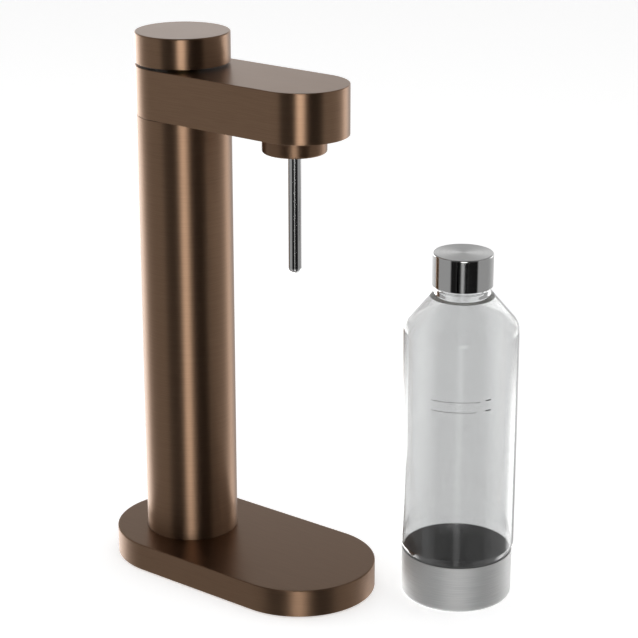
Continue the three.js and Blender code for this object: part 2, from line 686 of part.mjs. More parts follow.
// Two screws under the arm, in sinks of the cover, hold cover, frame and shell together
function coverScrews() {
  const seat = armBottom + LOW_HEAD;
  const length = frameTop + COVER_SCREW_ENGAGEMENT - seat;
  return armBosses.map(([x, y], i) => (
    screw(`cover_screw_${i + 1}`, lowHeaded(M3), length, x, y, seat, true)));
}

// Valve block, on the column's axis

function valveBlock() {
  const radius = BLOCK_DIAMETER / 2;
  const body = turned([
    [0, blockBottom], [radius, blockBottom], [radius, blockFlangeBottom],
    [BLOCK_FLANGE_DIAMETER / 2, blockFlangeBottom], [BLOCK_FLANGE_DIAMETER / 2, blockFlangeTop],
    [BLOCK_TOWER_DIAMETER / 2, blockFlangeTop], [BLOCK_TOWER_DIAMETER / 2, blockTop], [0, blockTop],
  ]);
  const boss = crossRod(PIPE_BOSS_DIAMETER / 2, 0, BLOCK_BOSS_REACH, blockOutletHeight);
  const socketRadius = VALVE_THREAD_DIAMETER / 2 + VALVE_THREAD_CLEARANCE;
  const socket = rod(socketRadius, blockBottom - OVERRUN, gasChamberBottom, ROUND_SIDES);
  const chamber = rod(GAS_CHAMBER_DIAMETER / 2, gasChamberBottom - OVERRUN, gasChamberTop);
  const outlet = crossRod(pipeBore, 0, BLOCK_BOSS_REACH + OVERRUN, blockOutletHeight, TINY_SIDES);
  const rodHole = rod(rodBore, gasChamberTop - OVERRUN, blockTop + OVERRUN, TINY_SIDES);
  const holes = valveScrewPlaces.map(([x, y]) => (
    screwHole(M3, x, y, blockFlangeBottom - OVERRUN, blockFlangeTop + OVERRUN)));
  return piece('valve_block', cut(join(body, boss), socket, chamber, outlet, rodHole, ...holes), brass);
}

function valveSeal() {
  const bottom = valveTop + SEAT_GAP;
  const ring = sleeve(VALVE_THREAD_DIAMETER / 2, VALVE_SEAL_BORE / 2, bottom, bottom + VALVE_SEAL_THICKNESS,
    SMALL_SIDES);
  return piece('valve_seal', ring, darkRubber);
}

function valveScrews() {
  const length = BLOCK_FLANGE + SCREW_ENGAGEMENT;
  return valveScrewPlaces.map(([x, y], i) => (
    screw(`valve_screw_${i + 1}`, M3, length, x, y, blockFlangeTop + SEAT_GAP)));
}

// Knob: guide, rod, core, cap and spring on the column's axis

function rodGuide() {
  const radius = ROD_GUIDE_DIAMETER / 2;
  const room = CLIP_DIAMETER / 2 + RUNNING_GAP;
  const groove = ROD_DIAMETER / 2 + ROD_SEAL_SECTION + 2 * RUNNING_GAP;
  const grooveBottom = rodGuideTop - ROD_SEAL_SECTION - RUNNING_GAP;
  const guide = turnedRing([
    [room, rodGuideBottom], [radius, rodGuideBottom], [radius, armTop + SEAT_GAP],
    [ROD_GUIDE_FLANGE_DIAMETER / 2, armTop + SEAT_GAP], [ROD_GUIDE_FLANGE_DIAMETER / 2, rodGuideTop],
    [groove, rodGuideTop], [groove, grooveBottom], [rodBore, grooveBottom],
    [rodBore, rodGuideBottom + CLIP_ROOM], [room, rodGuideBottom + CLIP_ROOM],
  ], SMALL_SIDES);
  return piece('rod_guide', guide, brass);
}

function rodSeal() {
  const section = ROD_SEAL_SECTION / 2;
  const ring = new THREE.TorusGeometry(rodBore + section, section, WIRE_SIDES, SMALL_SIDES)
    .translate(0, 0, rodGuideTop - section);
  return piece('rod_seal', ring, darkRubber);
}

function pushRod() {
  const bar = rod(ROD_DIAMETER / 2, rodBottom, knobChamberTop + ROD_SEATING, TINY_SIDES);
  return piece('push_rod', bar, polishedSteel);
}

function rodClip() {
  const top = rodGuideBottom + CLIP_ROOM - SEAT_GAP;
  const ring = sleeve(CLIP_DIAMETER / 2, ROD_DIAMETER / 2 + SEAT_GAP, top - CLIP_THICKNESS, top, TINY_SIDES);
  return piece('rod_clip', ring, springSteel);
}

function knobCore() {
  const hub = knobChamberTop - KNOB_HUB_LENGTH;
  const bore = ROD_DIAMETER / 2 + RUNNING_GAP;
  const boreTop = knobChamberTop + ROD_SEATING + SEAT_GAP;
  const core = turned([
    [0, boreTop], [bore, boreTop], [bore, hub], [KNOB_HUB_DIAMETER / 2, hub],
    [KNOB_HUB_DIAMETER / 2, knobChamberTop], [KNOB_CHAMBER_DIAMETER / 2, knobChamberTop],
    [KNOB_CHAMBER_DIAMETER / 2, knobCoreBottom], [columnRadius - KNOB_WALL - RUNNING_GAP, knobCoreBottom],
    [columnRadius - KNOB_WALL - RUNNING_GAP, knobCoreTop], [0, knobCoreTop],
  ]);
  return piece('knob_core', core, darkPlastic);
}

function knobCap() {
  const bore = columnRadius - KNOB_WALL;
  const ceiling = TOTAL_HEIGHT - KNOB_TOP_WALL;
  const cap = turned([
    [0, ceiling], [bore, ceiling], [bore, knobBottom], [columnRadius, knobBottom],
    [columnRadius, TOTAL_HEIGHT, KNOB_EDGE], [0, TOTAL_HEIGHT],
  ], FINE_SIDES);
  return piece('knob_cap', cap, bronzeSteel);
}

function knobSpring() {
  const spring = coil('knob_spring', KNOB_SPRING_DIAMETER, KNOB_SPRING_WIRE, KNOB_SPRING_TURNS,
    rodGuideTop + SEAT_GAP, knobChamberTop - SEAT_GAP);
  return piece('knob_spring', spring, springSteel);
}

// Gas cylinder with its valve, on the column's axis

function gasCylinder() {
  const radius = GAS_CYLINDER_DIAMETER / 2;
  const bore = VALVE_TAIL_DIAMETER / 2 + RUNNING_GAP;
  const wall = GAS_CYLINDER_WALL;
  const bottom = GAS_CYLINDER_ABOVE_TABLE;
  const shoulder = gasNeckTop - GAS_NECK_HEIGHT;
  const rounding = GAS_SHOULDER_HEIGHT / 2;
  const neck = GAS_NECK_DIAMETER / 2;
  const shell = turned([
    [0, bottom], [radius, bottom, GAS_CYLINDER_EDGE], [radius, shoulder - GAS_SHOULDER_HEIGHT, rounding],
    [neck, shoulder], [neck, gasNeckTop], [bore, gasNeckTop], [bore, shoulder - wall],
    [radius - wall, shoulder - GAS_SHOULDER_HEIGHT - wall, rounding - wall],
    [radius - wall, bottom + wall, GAS_CYLINDER_EDGE - wall], [0, bottom + wall],
  ], ROUND_SIDES, HIDDEN_ARC_STEPS);
  return piece('gas_cylinder', shell, castMetal);
}

const pinChamberTop = valveTop - VALVE_THREAD_LENGTH;
const pinChamberBottom = pinChamberTop - PIN_CHAMBER_LENGTH;
const burstHeight = valveShoulder - VALVE_BODY_HEIGHT / 2;

function cylinderValve() {
  const tailBottom = gasNeckTop - VALVE_TAIL_LENGTH;
  const body = turned([
    [0, tailBottom], [VALVE_TAIL_DIAMETER / 2, tailBottom],
    [VALVE_TAIL_DIAMETER / 2, gasNeckTop + SEAT_GAP], [VALVE_BODY_DIAMETER / 2, gasNeckTop + SEAT_GAP],
    [VALVE_BODY_DIAMETER / 2, valveShoulder],
    [VALVE_THREAD_DIAMETER / 2, valveShoulder], [VALVE_THREAD_DIAMETER / 2, valveTop], [0, valveTop],
  ]);
  const chamber = rod(PIN_CHAMBER_DIAMETER / 2, pinChamberBottom, pinChamberTop);
  const mouthRadius = PIN_CHAMBER_DIAMETER / 2 - PIN_LIP;
  const mouth = rod(mouthRadius, tailBottom - OVERRUN, pinChamberBottom + OVERRUN, TINY_SIDES);
  const pinHoleRadius = PIN_DIAMETER / 2 + RUNNING_GAP;
  const pinHole = rod(pinHoleRadius, pinChamberTop - OVERRUN, valveTop + OVERRUN, TINY_SIDES);
  const plugRadius = BURST_SHANK_DIAMETER / 2 + RUNNING_GAP;
  const plugEnd = VALVE_BODY_DIAMETER / 2 - BURST_SHANK_LENGTH - SEAT_GAP;
  const plugHole = crossRod(plugRadius, plugEnd, VALVE_BODY_DIAMETER, burstHeight, TINY_SIDES);
  return piece('cylinder_valve', cut(body, chamber, mouth, pinHole, plugHole), brass);
}

function valvePin() {
  const headTop = pinChamberTop - SEAT_GAP;
  const pin = turned([
    [0, headTop - PIN_HEAD_HEIGHT], [PIN_HEAD_DIAMETER / 2, headTop - PIN_HEAD_HEIGHT],
    [PIN_HEAD_DIAMETER / 2, headTop], [PIN_DIAMETER / 2, headTop], [PIN_DIAMETER / 2, pinTop], [0, pinTop],
  ], TINY_SIDES);
  return piece('valve_pin', pin, polishedSteel);
}

function pinSpring() {
  const bottom = pinChamberBottom + SEAT_GAP;
  const top = pinChamberTop - PIN_HEAD_HEIGHT - 2 * SEAT_GAP;
  const diameter = PIN_HEAD_DIAMETER - PIN_SPRING_WIRE;
  const spring = coil('pin_spring', diameter, PIN_SPRING_WIRE, PIN_SPRING_TURNS, bottom, top);
  return piece('pin_spring', spring, springSteel);
}

function burstPlug() {
  const plug = turned([
    [0, -BURST_SHANK_LENGTH], [BURST_SHANK_DIAMETER / 2, -BURST_SHANK_LENGTH],
    [BURST_SHANK_DIAMETER / 2, SEAT_GAP], [BURST_PLUG_DIAMETER / 2, SEAT_GAP],
    [BURST_PLUG_DIAMETER / 2, BURST_PLUG_LENGTH], [0, BURST_PLUG_LENGTH],
  ], SCREW_SIDES);
  const mesh = piece('burst_plug', plug, brass);
  mesh.position.set(VALVE_BODY_DIAMETER / 2, 0, burstHeight);
  mesh.rotation.y = Math.PI / 2;
  return mesh;
}

// Gas pipe, from the valve block to the nozzle head

const blockBossEnd = BLOCK_BOSS_REACH;
const headBossEnd = TUBE_REACH - HEAD_BOSS_REACH;

function gasPipe() {
  const rear = new THREE.Vector3(blockBossEnd - PIPE_SEATING, 0, blockOutletHeight);
  const front = new THREE.Vector3(headBossEnd + PIPE_SEATING, 0, headInletHeight);
  const straight = new THREE.Vector3(PIPE_STRAIGHT, 0, 0);
  const leave = rear.clone().add(straight);
  const arrive = front.clone().sub(straight);
  const middle = (rear.x + front.x) / 2;
  const path = new THREE.CurvePath();
  path.add(new THREE.LineCurve3(rear, leave));
  path.add(new THREE.CubicBezierCurve3(
    leave, leave.clone().setX(middle), arrive.clone().setX(middle), arrive));
  path.add(new THREE.LineCurve3(arrive, front));
  const section = wireSection(PIPE_DIAMETER / 2, SCREW_SIDES, PIPE_DIAMETER / 2 - PIPE_WALL);
  return piece('gas_pipe', along(path, section, PIPE_STEPS), polishedSteel);
}

function pipeNut(name, from, height) {
  const bar = crossRod(NUT_ACROSS_CORNERS / 2, from, from + NUT_LENGTH, 0, NUT_SIDES)
    .rotateX(Math.PI / NUT_SIDES)
    .translate(0, 0, height);
  const hole = crossRod(pipeBore, from - OVERRUN, from + NUT_LENGTH + OVERRUN, height, TINY_SIDES);
  return piece(name, cut(bar, hole), brass);
}

// Collar, seal, nozzle head and tube, on the tube's axis

function bottleCollar() {
  const sleeveTop = collarFlangeBottom;
  const ring = turnedRing([
    [collarBore, collarBottom], [collarRadius, collarBottom, COLLAR_EDGE], [collarRadius, sleeveTop],
    [COLLAR_FLANGE_DIAMETER / 2, sleeveTop], [COLLAR_FLANGE_DIAMETER / 2, collarTop],
    [collarBore, collarTop],
  ], SHOWN_SIDES);
  const holes = headScrewPlaces.map(([x, y]) => (
    screwHole(M3, x - TUBE_REACH, y, sleeveTop - OVERRUN, collarTop + OVERRUN)));
  const thread = neckThread(collarBore, COLLAR_THREAD_SECTION, collarBottom + NECK_THREAD_START);
  return piece('bottle_collar', join(cut(ring, ...holes), thread), bronzeSteel);
}

// A screw thread as a round ridge half sunk in the wall that carries it
function neckThread(radius, section, bottom) {
  const path = new Helix(radius, NECK_THREAD_PITCH * NECK_THREAD_TURNS, NECK_THREAD_TURNS);
  const steps = Math.round(NECK_THREAD_TURNS * THREAD_STEPS_PER_TURN);
  return along(path, wireSection(section / 2, WIRE_SIDES), steps).translate(0, 0, bottom);
}

function collarSeal() {
  const ring = sleeve(collarBore - RUNNING_GAP, HEAD_SPIGOT_DIAMETER / 2 + RUNNING_GAP,
    headSpigotBottom, headBottom - SEAT_GAP);
  return piece('collar_seal', ring, paleSilicone);
}

function nozzleHead() {
  const body = turned([
    [0, headSpigotBottom], [HEAD_SPIGOT_DIAMETER / 2, headSpigotBottom],
    [HEAD_SPIGOT_DIAMETER / 2, headBottom], [COLLAR_FLANGE_DIAMETER / 2, headBottom],
    [COLLAR_FLANGE_DIAMETER / 2, headFlangeTop],
    [HEAD_TOWER_DIAMETER / 2, headFlangeTop], [HEAD_TOWER_DIAMETER / 2, headTop], [0, headTop],
  ]);
  const boss = crossRod(PIPE_BOSS_DIAMETER / 2, -HEAD_BOSS_REACH, 0, headInletHeight);
  const tubeHole = rod(TUBE_DIAMETER / 2 + RUNNING_GAP, headSpigotBottom - OVERRUN, tubeTop + RUNNING_GAP);
  const well = rod(pipeBore, tubeTop, headInletHeight + pipeBore, TINY_SIDES);
  const inlet = crossRod(pipeBore, -HEAD_BOSS_REACH - OVERRUN, 0, headInletHeight, TINY_SIDES);
  const channel = rod(RELIEF_CHANNEL / 2, headSpigotBottom - OVERRUN, headFlangeTop + OVERRUN, TINY_SIDES,
    0, RELIEF_ASIDE);
  const holes = headScrewPlaces.map(([x, y]) => (
    screwHole(M3, x - TUBE_REACH, y, headBottom - OVERRUN, headFlangeTop + OVERRUN)));
  return piece('nozzle_head', cut(join(body, boss), tubeHole, well, inlet, channel, ...holes), brass);
}

function headScrews() {
  const length = HEAD_FLANGE + COLLAR_FLANGE + SCREW_ENGAGEMENT;
  return headScrewPlaces.map(([x, y], i) => (
    screw(`head_screw_${i + 1}`, M3, length, x - TUBE_REACH, y, headFlangeTop + SEAT_GAP)));
}

function carbonationTube() {
  const bottom = TUBE_TIP_HEIGHT + TUBE_TIP_LENGTH + SEAT_GAP;
  const radius = TUBE_DIAMETER / 2;
  const tube = sleeve(radius, radius - TUBE_WALL, bottom, tubeTop, SMALL_SIDES);
  return piece('carbonation_tube', tube, polishedSteel);
}

function nozzleTip() {
  const radius = TUBE_DIAMETER / 2;
  const shoulder = TUBE_TIP_HEIGHT + TUBE_TIP_LENGTH;
  const spigot = radius - TUBE_WALL - RUNNING_GAP;
  const orifice = TUBE_ORIFICE / 2;
  const tip = turnedRing([
    [orifice, TUBE_TIP_HEIGHT], [radius, TUBE_TIP_HEIGHT, TUBE_TIP_EDGE], [radius, shoulder],
    [spigot, shoulder], [spigot, shoulder + TUBE_TIP_SPIGOT], [orifice, shoulder + TUBE_TIP_SPIGOT],
  ], SMALL_SIDES);
  return piece('nozzle_tip', tip, polishedSteel);
}

// Relief valve, beside the nozzle head's tower

const reliefBottom = headFlangeTop + SEAT_GAP;
const reliefTop = reliefBottom + RELIEF_HEIGHT;
const poppetBottom = reliefBottom + RELIEF_SEAT + SEAT_GAP;

function reliefBody() {
  const bore = RELIEF_BORE / 2;
  const hole = RELIEF_CHANNEL / 2;
  const seatTop = reliefBottom + RELIEF_SEAT;
  const ceiling = reliefTop - RELIEF_SEAT;
  const body = turnedRing([
    [hole, reliefBottom], [RELIEF_DIAMETER / 2, reliefBottom], [RELIEF_DIAMETER / 2, reliefTop],
    [hole, reliefTop], [hole, ceiling], [bore, ceiling], [bore, seatTop], [hole, seatTop],
  ], TINY_SIDES);
  return piece('relief_body', body, brass);
}

function reliefPoppet() {
  const top = poppetBottom + POPPET_THICKNESS;
  const poppet = turned([
    [0, poppetBottom], [POPPET_DIAMETER / 2, poppetBottom], [POPPET_DIAMETER / 2, top],
    [POPPET_STEM_DIAMETER / 2, top], [POPPET_STEM_DIAMETER / 2, top + POPPET_STEM_LENGTH],
    [0, top + POPPET_STEM_LENGTH],
  ], TINY_SIDES);
  return piece('relief_poppet', poppet, darkPlastic);
}

function reliefSpring() {
  const bottom = poppetBottom + POPPET_THICKNESS + SEAT_GAP;
  const top = reliefTop - RELIEF_SEAT - SEAT_GAP;
  const spring = coil('relief_spring', RELIEF_SPRING_DIAMETER, RELIEF_SPRING_WIRE, RELIEF_SPRING_TURNS,
    bottom, top);
  return piece('relief_spring', spring, springSteel);
}

// Bottle, on its own axis

const bottleBottom = CUP_WALL + SEAT_GAP;
const shoulderSlope = (BOTTLE_CONE_TOP_HEIGHT - BOTTLE_SHOULDER_HEIGHT)
  / ((BOTTLE_DIAMETER - BOTTLE_ROOT_DIAMETER) / 2);

function bottleBody() {
  const side = BOTTLE_DIAMETER / 2;
  const root = BOTTLE_ROOT_DIAMETER / 2;
  const neck = NECK_DIAMETER / 2;
  const wall = BOTTLE_WALL;
  const inside = side - wall;
  const insideNeck = neck - NECK_WALL;
  const insideHeel = bottleHeelRadius - wall;
  const rise = CUP_HEIGHT + RUNNING_GAP;
  const coneTop = BOTTLE_CONE_TOP_HEIGHT;
  const drop = wall * Math.sqrt(1 + shoulderSlope ** 2) - wall * shoulderSlope;
  const insideShoulder = BOTTLE_SHOULDER_HEIGHT - drop;
  const insideConeTop = BOTTLE_INSIDE_CONE_TOP_HEIGHT;
  const shell = turned([
    [0, bottleBottom + BOTTLE_PUNT], [bottleHeelRadius - 2 * BOTTLE_HEEL_ROUNDING, bottleBottom],
    [bottleHeelRadius, bottleBottom, BOTTLE_HEEL_ROUNDING], [bottleHeelRadius, rise],
    [side, rise + BOTTLE_WAIST_RISE], [side, BOTTLE_SHOULDER_HEIGHT, BOTTLE_SHOULDER_ROUNDING],
    [root, coneTop, BOTTLE_ROOT_ROUNDING], [root, BOTTLE_ROOT_HEIGHT], [neck, BOTTLE_ROOT_HEIGHT],
    [neck, BOTTLE_MOUTH_HEIGHT], [insideNeck, BOTTLE_MOUTH_HEIGHT], [insideNeck, insideConeTop],
    [inside, insideShoulder, BOTTLE_SHOULDER_ROUNDING - wall], [inside, rise + BOTTLE_WAIST_RISE],
    [insideHeel, rise], [insideHeel, bottleBottom + wall, BOTTLE_HEEL_ROUNDING - wall],
    [bottleHeelRadius - 2 * BOTTLE_HEEL_ROUNDING, bottleBottom + wall],
    [0, bottleBottom + BOTTLE_PUNT + wall],
  ], SHOWN_SIDES);
  const threadRise = NECK_THREAD_PITCH * NECK_THREAD_TURNS;
  const threadBottom = BOTTLE_MOUTH_HEIGHT - NECK_THREAD_START - threadRise / 2;
  const thread = neckThread(neck, NECK_THREAD_SECTION, threadBottom);
  return piece('bottle_body', join(shell, thread), clearPlastic);
}

function bottleCup() {
  const radius = CUP_DIAMETER / 2;
  const cup = turned([
    [0, 0], [radius, 0, CUP_EDGE], [radius, CUP_HEIGHT], [cupBore, CUP_HEIGHT],
    [cupBore, CUP_WALL, CUP_EDGE - CUP_WALL], [0, CUP_WALL],
  ], SHOWN_SIDES);
  return piece('bottle_cup', cup, brushedSteel);
}

const capCoreBore = (NECK_DIAMETER + NECK_THREAD_SECTION) / 2 + RUNNING_GAP;
const capCoreCeiling = BOTTLE_MOUTH_HEIGHT + CAP_SEAL_THICKNESS + 2 * SEAT_GAP;

function capSeal() {
  const bottom = BOTTLE_MOUTH_HEIGHT + SEAT_GAP;
  const disc = rod(capCoreBore - RUNNING_GAP, bottom, bottom + CAP_SEAL_THICKNESS, ROUND_SIDES);
  return piece('cap_seal', disc, paleSilicone);
}

function capCore() {
  const outer = CAP_DIAMETER / 2 - CAP_WALL - RUNNING_GAP;
  const bottom = capBottom + CAP_CORE_RECESS;
  const core = turned([
    [0, capCoreCeiling], [capCoreBore, capCoreCeiling], [capCoreBore, bottom], [outer, bottom],
    [outer, capCoreCeiling + CAP_CORE_TOP_WALL], [0, capCoreCeiling + CAP_CORE_TOP_WALL],
  ]);
  return piece('cap_core', core, palePlastic);
}

function capShell() {
  const radius = CAP_DIAMETER / 2;
  const ceiling = capTop - CAP_TOP_WALL;
  const shell = turned([
    [0, ceiling], [radius - CAP_WALL, ceiling], [radius - CAP_WALL, capBottom], [radius, capBottom],
    [radius, capTop, CAP_EDGE], [0, capTop],
  ], SHOWN_SIDES);
  return piece('cap_shell', shell, polishedSteel);
}

// Assembly
const onColumn = groupOf([
  footPad(), basePlate(), ...baseScrews(), baseShell(), baseWeight(),
  columnFlange(), ...flangeScrews(), columnTube(), cylinderGuide(), columnTopRing(), ...topScrews(),
  armCover(), armFrame(), armShell(), ...coverScrews(),
  valveBlock(), valveSeal(), ...valveScrews(),
  rodGuide(), rodSeal(), pushRod(), rodClip(), knobCore(), knobCap(), knobSpring(),
  gasCylinder(), cylinderValve(), valvePin(), pinSpring(), burstPlug(),
  gasPipe(), pipeNut('pipe_nut_rear', blockBossEnd + SEAT_GAP, blockOutletHeight),
  pipeNut('pipe_nut_front', headBossEnd - SEAT_GAP - NUT_LENGTH, headInletHeight),
], columnX);
const onTube = groupOf([
  bottleCollar(), collarSeal(), nozzleHead(), ...headScrews(), carbonationTube(), nozzleTip(),
  groupOf([reliefBody(), reliefPoppet(), reliefSpring()], 0, RELIEF_ASIDE),
], columnX + TUBE_REACH);
const bottle = groupOf([
  bottleBody(), bottleCup(), capSeal(), capCore(), capShell(),
], columnX + BOTTLE_AHEAD, BOTTLE_ASIDE);

export default groupOf([onColumn, onTube, bottle]);
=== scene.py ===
"""A sparkling water maker with its bottle, dressed around its fixed frame.

Everything is in metres, +Z up. The origin lies on the table at the centre of the base, and the arm
points along +X from the column. Places come from the frame's own nodes.
"""

import json
import logging
import math
from abc import ABC, abstractmethod
from collections.abc import Iterable, Sequence
from dataclasses import dataclass
from enum import Enum

import bmesh
import bpy
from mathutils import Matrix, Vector


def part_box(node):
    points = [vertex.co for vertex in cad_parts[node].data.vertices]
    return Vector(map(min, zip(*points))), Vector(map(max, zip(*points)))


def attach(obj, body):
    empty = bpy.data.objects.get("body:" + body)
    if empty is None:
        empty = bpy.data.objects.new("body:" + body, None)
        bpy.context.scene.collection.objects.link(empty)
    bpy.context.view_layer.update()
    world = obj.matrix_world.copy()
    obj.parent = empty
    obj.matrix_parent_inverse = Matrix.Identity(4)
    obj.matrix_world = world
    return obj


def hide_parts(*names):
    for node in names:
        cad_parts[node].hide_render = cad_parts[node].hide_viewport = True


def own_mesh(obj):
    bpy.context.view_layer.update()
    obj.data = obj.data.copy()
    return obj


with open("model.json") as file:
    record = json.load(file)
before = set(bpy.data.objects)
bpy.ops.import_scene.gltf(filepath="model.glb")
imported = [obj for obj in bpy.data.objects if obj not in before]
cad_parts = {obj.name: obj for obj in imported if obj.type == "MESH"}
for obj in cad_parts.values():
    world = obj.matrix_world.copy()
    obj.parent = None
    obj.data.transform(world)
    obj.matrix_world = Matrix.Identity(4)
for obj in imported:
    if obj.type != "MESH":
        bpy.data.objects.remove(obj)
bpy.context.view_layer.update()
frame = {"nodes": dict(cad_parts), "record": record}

log = logging.getLogger("sparkling_water_maker")

MM = 0.001
SMOOTH_ANGLE = math.radians(32)
MERGE_DISTANCE = 0.001 * MM
GUARD = 0.35 * MM  # ring beside a rounding that keeps the flat face next to it flat
TOP_TOLERANCE = 0.02 * MM  # how far from a top's height its faces may lie
LEVEL_NORMAL = 0.99  # upward part of a level face's normal, at least
FLOOR_NORMAL = 0.5  # upward part of the normal of a face that counts as a floor
ARC_STEPS = 6
ROUND_SIDES = 160
SMALL_SIDES = 56
HELIX_STEPS = 48  # points in a turn
WIRE_SIDES = 12
BLUNT_END = 0.02  # share of a wire's thickness that a tapered end keeps
CONTRAST = (0.3, 0.7)  # part of a noise's range over which its two tones change

Object = bpy.types.Object
Material = bpy.types.Material
Triple = tuple[float, float, float]


# Shader maths


class Socket:
    """One output of a shader node. Sums and products of sockets add Math nodes to their graph."""

    def __init__(self, graph: "Graph", output: bpy.types.NodeSocket) -> None:
        """Wraps an output.

        Args:
            graph: the graph that the output's node is in.
            output: the node's output.
        """
        self.graph = graph
        self.output = output

    def beside(self, name: str) -> "Socket":
        """Another output of the same node."""
        return Socket(self.graph, self.output.node.outputs[name])

    def math(self, operation: str, *terms: "float | Socket") -> "Socket":
        """A Math node of this socket and the other terms."""
        return self.graph.node(
            "ShaderNodeMath", {"operation": operation}, dict(enumerate((self, *terms)))
        )

    def __add__(self, other: "float | Socket") -> "Socket":
        """The sum of two values."""
        return self.math("ADD", other)

    def __radd__(self, other: float) -> "Socket":
        """The sum of a number and this value."""
        return self.math("ADD", other)

    def __sub__(self, other: "float | Socket") -> "Socket":
        """This value less another."""
        return self.math("SUBTRACT", other)

    def __rsub__(self, other: float) -> "Socket":
        """A number less this value."""
        return self.math("MULTIPLY_ADD", -1.0, other)

    def __mul__(self, other: "float | Socket") -> "Socket":
        """The product of two values."""
        return self.math("MULTIPLY", other)

    def __rmul__(self, other: float) -> "Socket":
        """The product of a number and this value."""
        return self.math("MULTIPLY", other)

    def ramp(self, low: float, high: float) -> "Socket":
        """A smooth rise from 0 at low to 1 at high."""
        return self.graph.node(
            "ShaderNodeMapRange",
            {"interpolation_type": "SMOOTHSTEP"},
            {"Value": self, "From Min": low, "From Max": high},
        )

    def between(self, low: float, high: float, soft: float) -> "Socket":
        """1 from low to high and 0 outside, with both steps 2 * soft wide."""
        rise = self.ramp(low - soft, low + soft)
        return rise * (1 - self.ramp(high - soft, high + soft))


class Graph:
    """The nodes of one material or world."""

    def __init__(self, tree: bpy.types.NodeTree) -> None:
        """Empties a node tree and takes it over."""
        tree.nodes.clear()
        self.tree = tree

    def node(
        self,
        kind: str,
        settings: dict[str, object] | None = None,
        sockets: dict[str | int, object] | None = None,
        output: str | int = 0,
    ) -> Socket:
        """Adds one node.

        Args:
            kind: the node's type name.
            settings: its properties, which are set first.
            sockets: a value or a Socket for each input, by name or number.
            output: the output to give back.

        Returns:
            That output of the new node.
        """
        made = self.tree.nodes.new(kind)
        for name, value in (settings or {}).items():
            setattr(made, name, value)
        for name, value in (sockets or {}).items():
            if isinstance(value, Socket):
                self.tree.links.new(value.output, made.inputs[name])
            else:
                made.inputs[name].default_value = value
        return Socket(self, made.outputs[output] if len(made.outputs) else None)

    def coordinates(self) -> Socket:
        """The place on the object, in metres from its origin."""
        return self.node("ShaderNodeTexCoord", output="Object")

    def light_path(self, kind: str) -> Socket:
        """1 for rays of a kind and 0 for the others."""
        return self.node("ShaderNodeLightPath", output=kind)

    def scaled(self, vector: Socket, scale: Triple) -> Socket:
        """A vector times another, by a Vector Math node."""
        return self.node("ShaderNodeVectorMath", {"operation": "MULTIPLY"}, {0: vector, 1: scale})

    def noise(self, vector: Socket, scale: float = 1.0, detail: float = 2.0) -> Socket:
        """A noise from 0 to 1, whose features are about 1 / scale of the vector's unit."""
        return self.node("ShaderNodeTexNoise", {}, {"Vector": vector, "Scale": scale, "Detail": detail})

    def mix(self, factor: Socket, first: object, second: object) -> Socket:
        """A Mix node between two colours."""
        kind = {"data_type": "RGBA"}
        return self.node("ShaderNodeMix", kind, {0: factor, 6: first, 7: second}, 2)

    def bump(self, height: Socket, strength: float, distance: float) -> Socket:
        """A Bump node for a height."""
        sockets = {"Height": height, "Strength": strength, "Distance": distance}
        return self.node("ShaderNodeBump", {}, sockets)

    def surface(self, shader: Socket, kind: str = "ShaderNodeOutputMaterial") -> None:
        """Ends the graph in a shader."""
        self.node(kind, {}, {"Surface": shader})


# Finishes


def opaque(colour: Triple, share: float) -> tuple[float, float, float, float]:
    """A colour times a share, with its alpha."""
    return (colour[0] * share, colour[1] * share, colour[2] * share, 1.0)


@dataclass(frozen=True)
class Finish(ABC):
    """A finish, which makes the material of its name."""

    name: str
    colour: Triple
    roughness: float

    @abstractmethod
    def sockets(self, graph: Graph) -> dict[str, object]:
        """The values and links of the shader's sockets."""

    def toned(self, graph: Graph, mask: Socket, share: float) -> Socket:
        """The colour, a share darker where the mask is 0 and as much lighter where it is 1."""
        return graph.mix(mask, opaque(self.colour, 1 - share), opaque(self.colour, 1 + share))

    def material(self) -> Material:
        """The finish as a Blender material.

        Returns:
            The new material.
        """
        made = bpy.data.materials.new(self.name)
        made.use_nodes = True
        graph = Graph(made.node_tree)
        graph.surface(graph.node("ShaderNodeBsdfPrincipled", {}, self.sockets(graph)))
        return made


class Grain(Enum):
    """Which way a metal's brush marks run."""

    LEVEL = "level lines on the upright walls"
    RINGS = "rings about the piece's own axis"
    ALONG = "lines along X"
    NONE = "no marks, only a fine tooth"


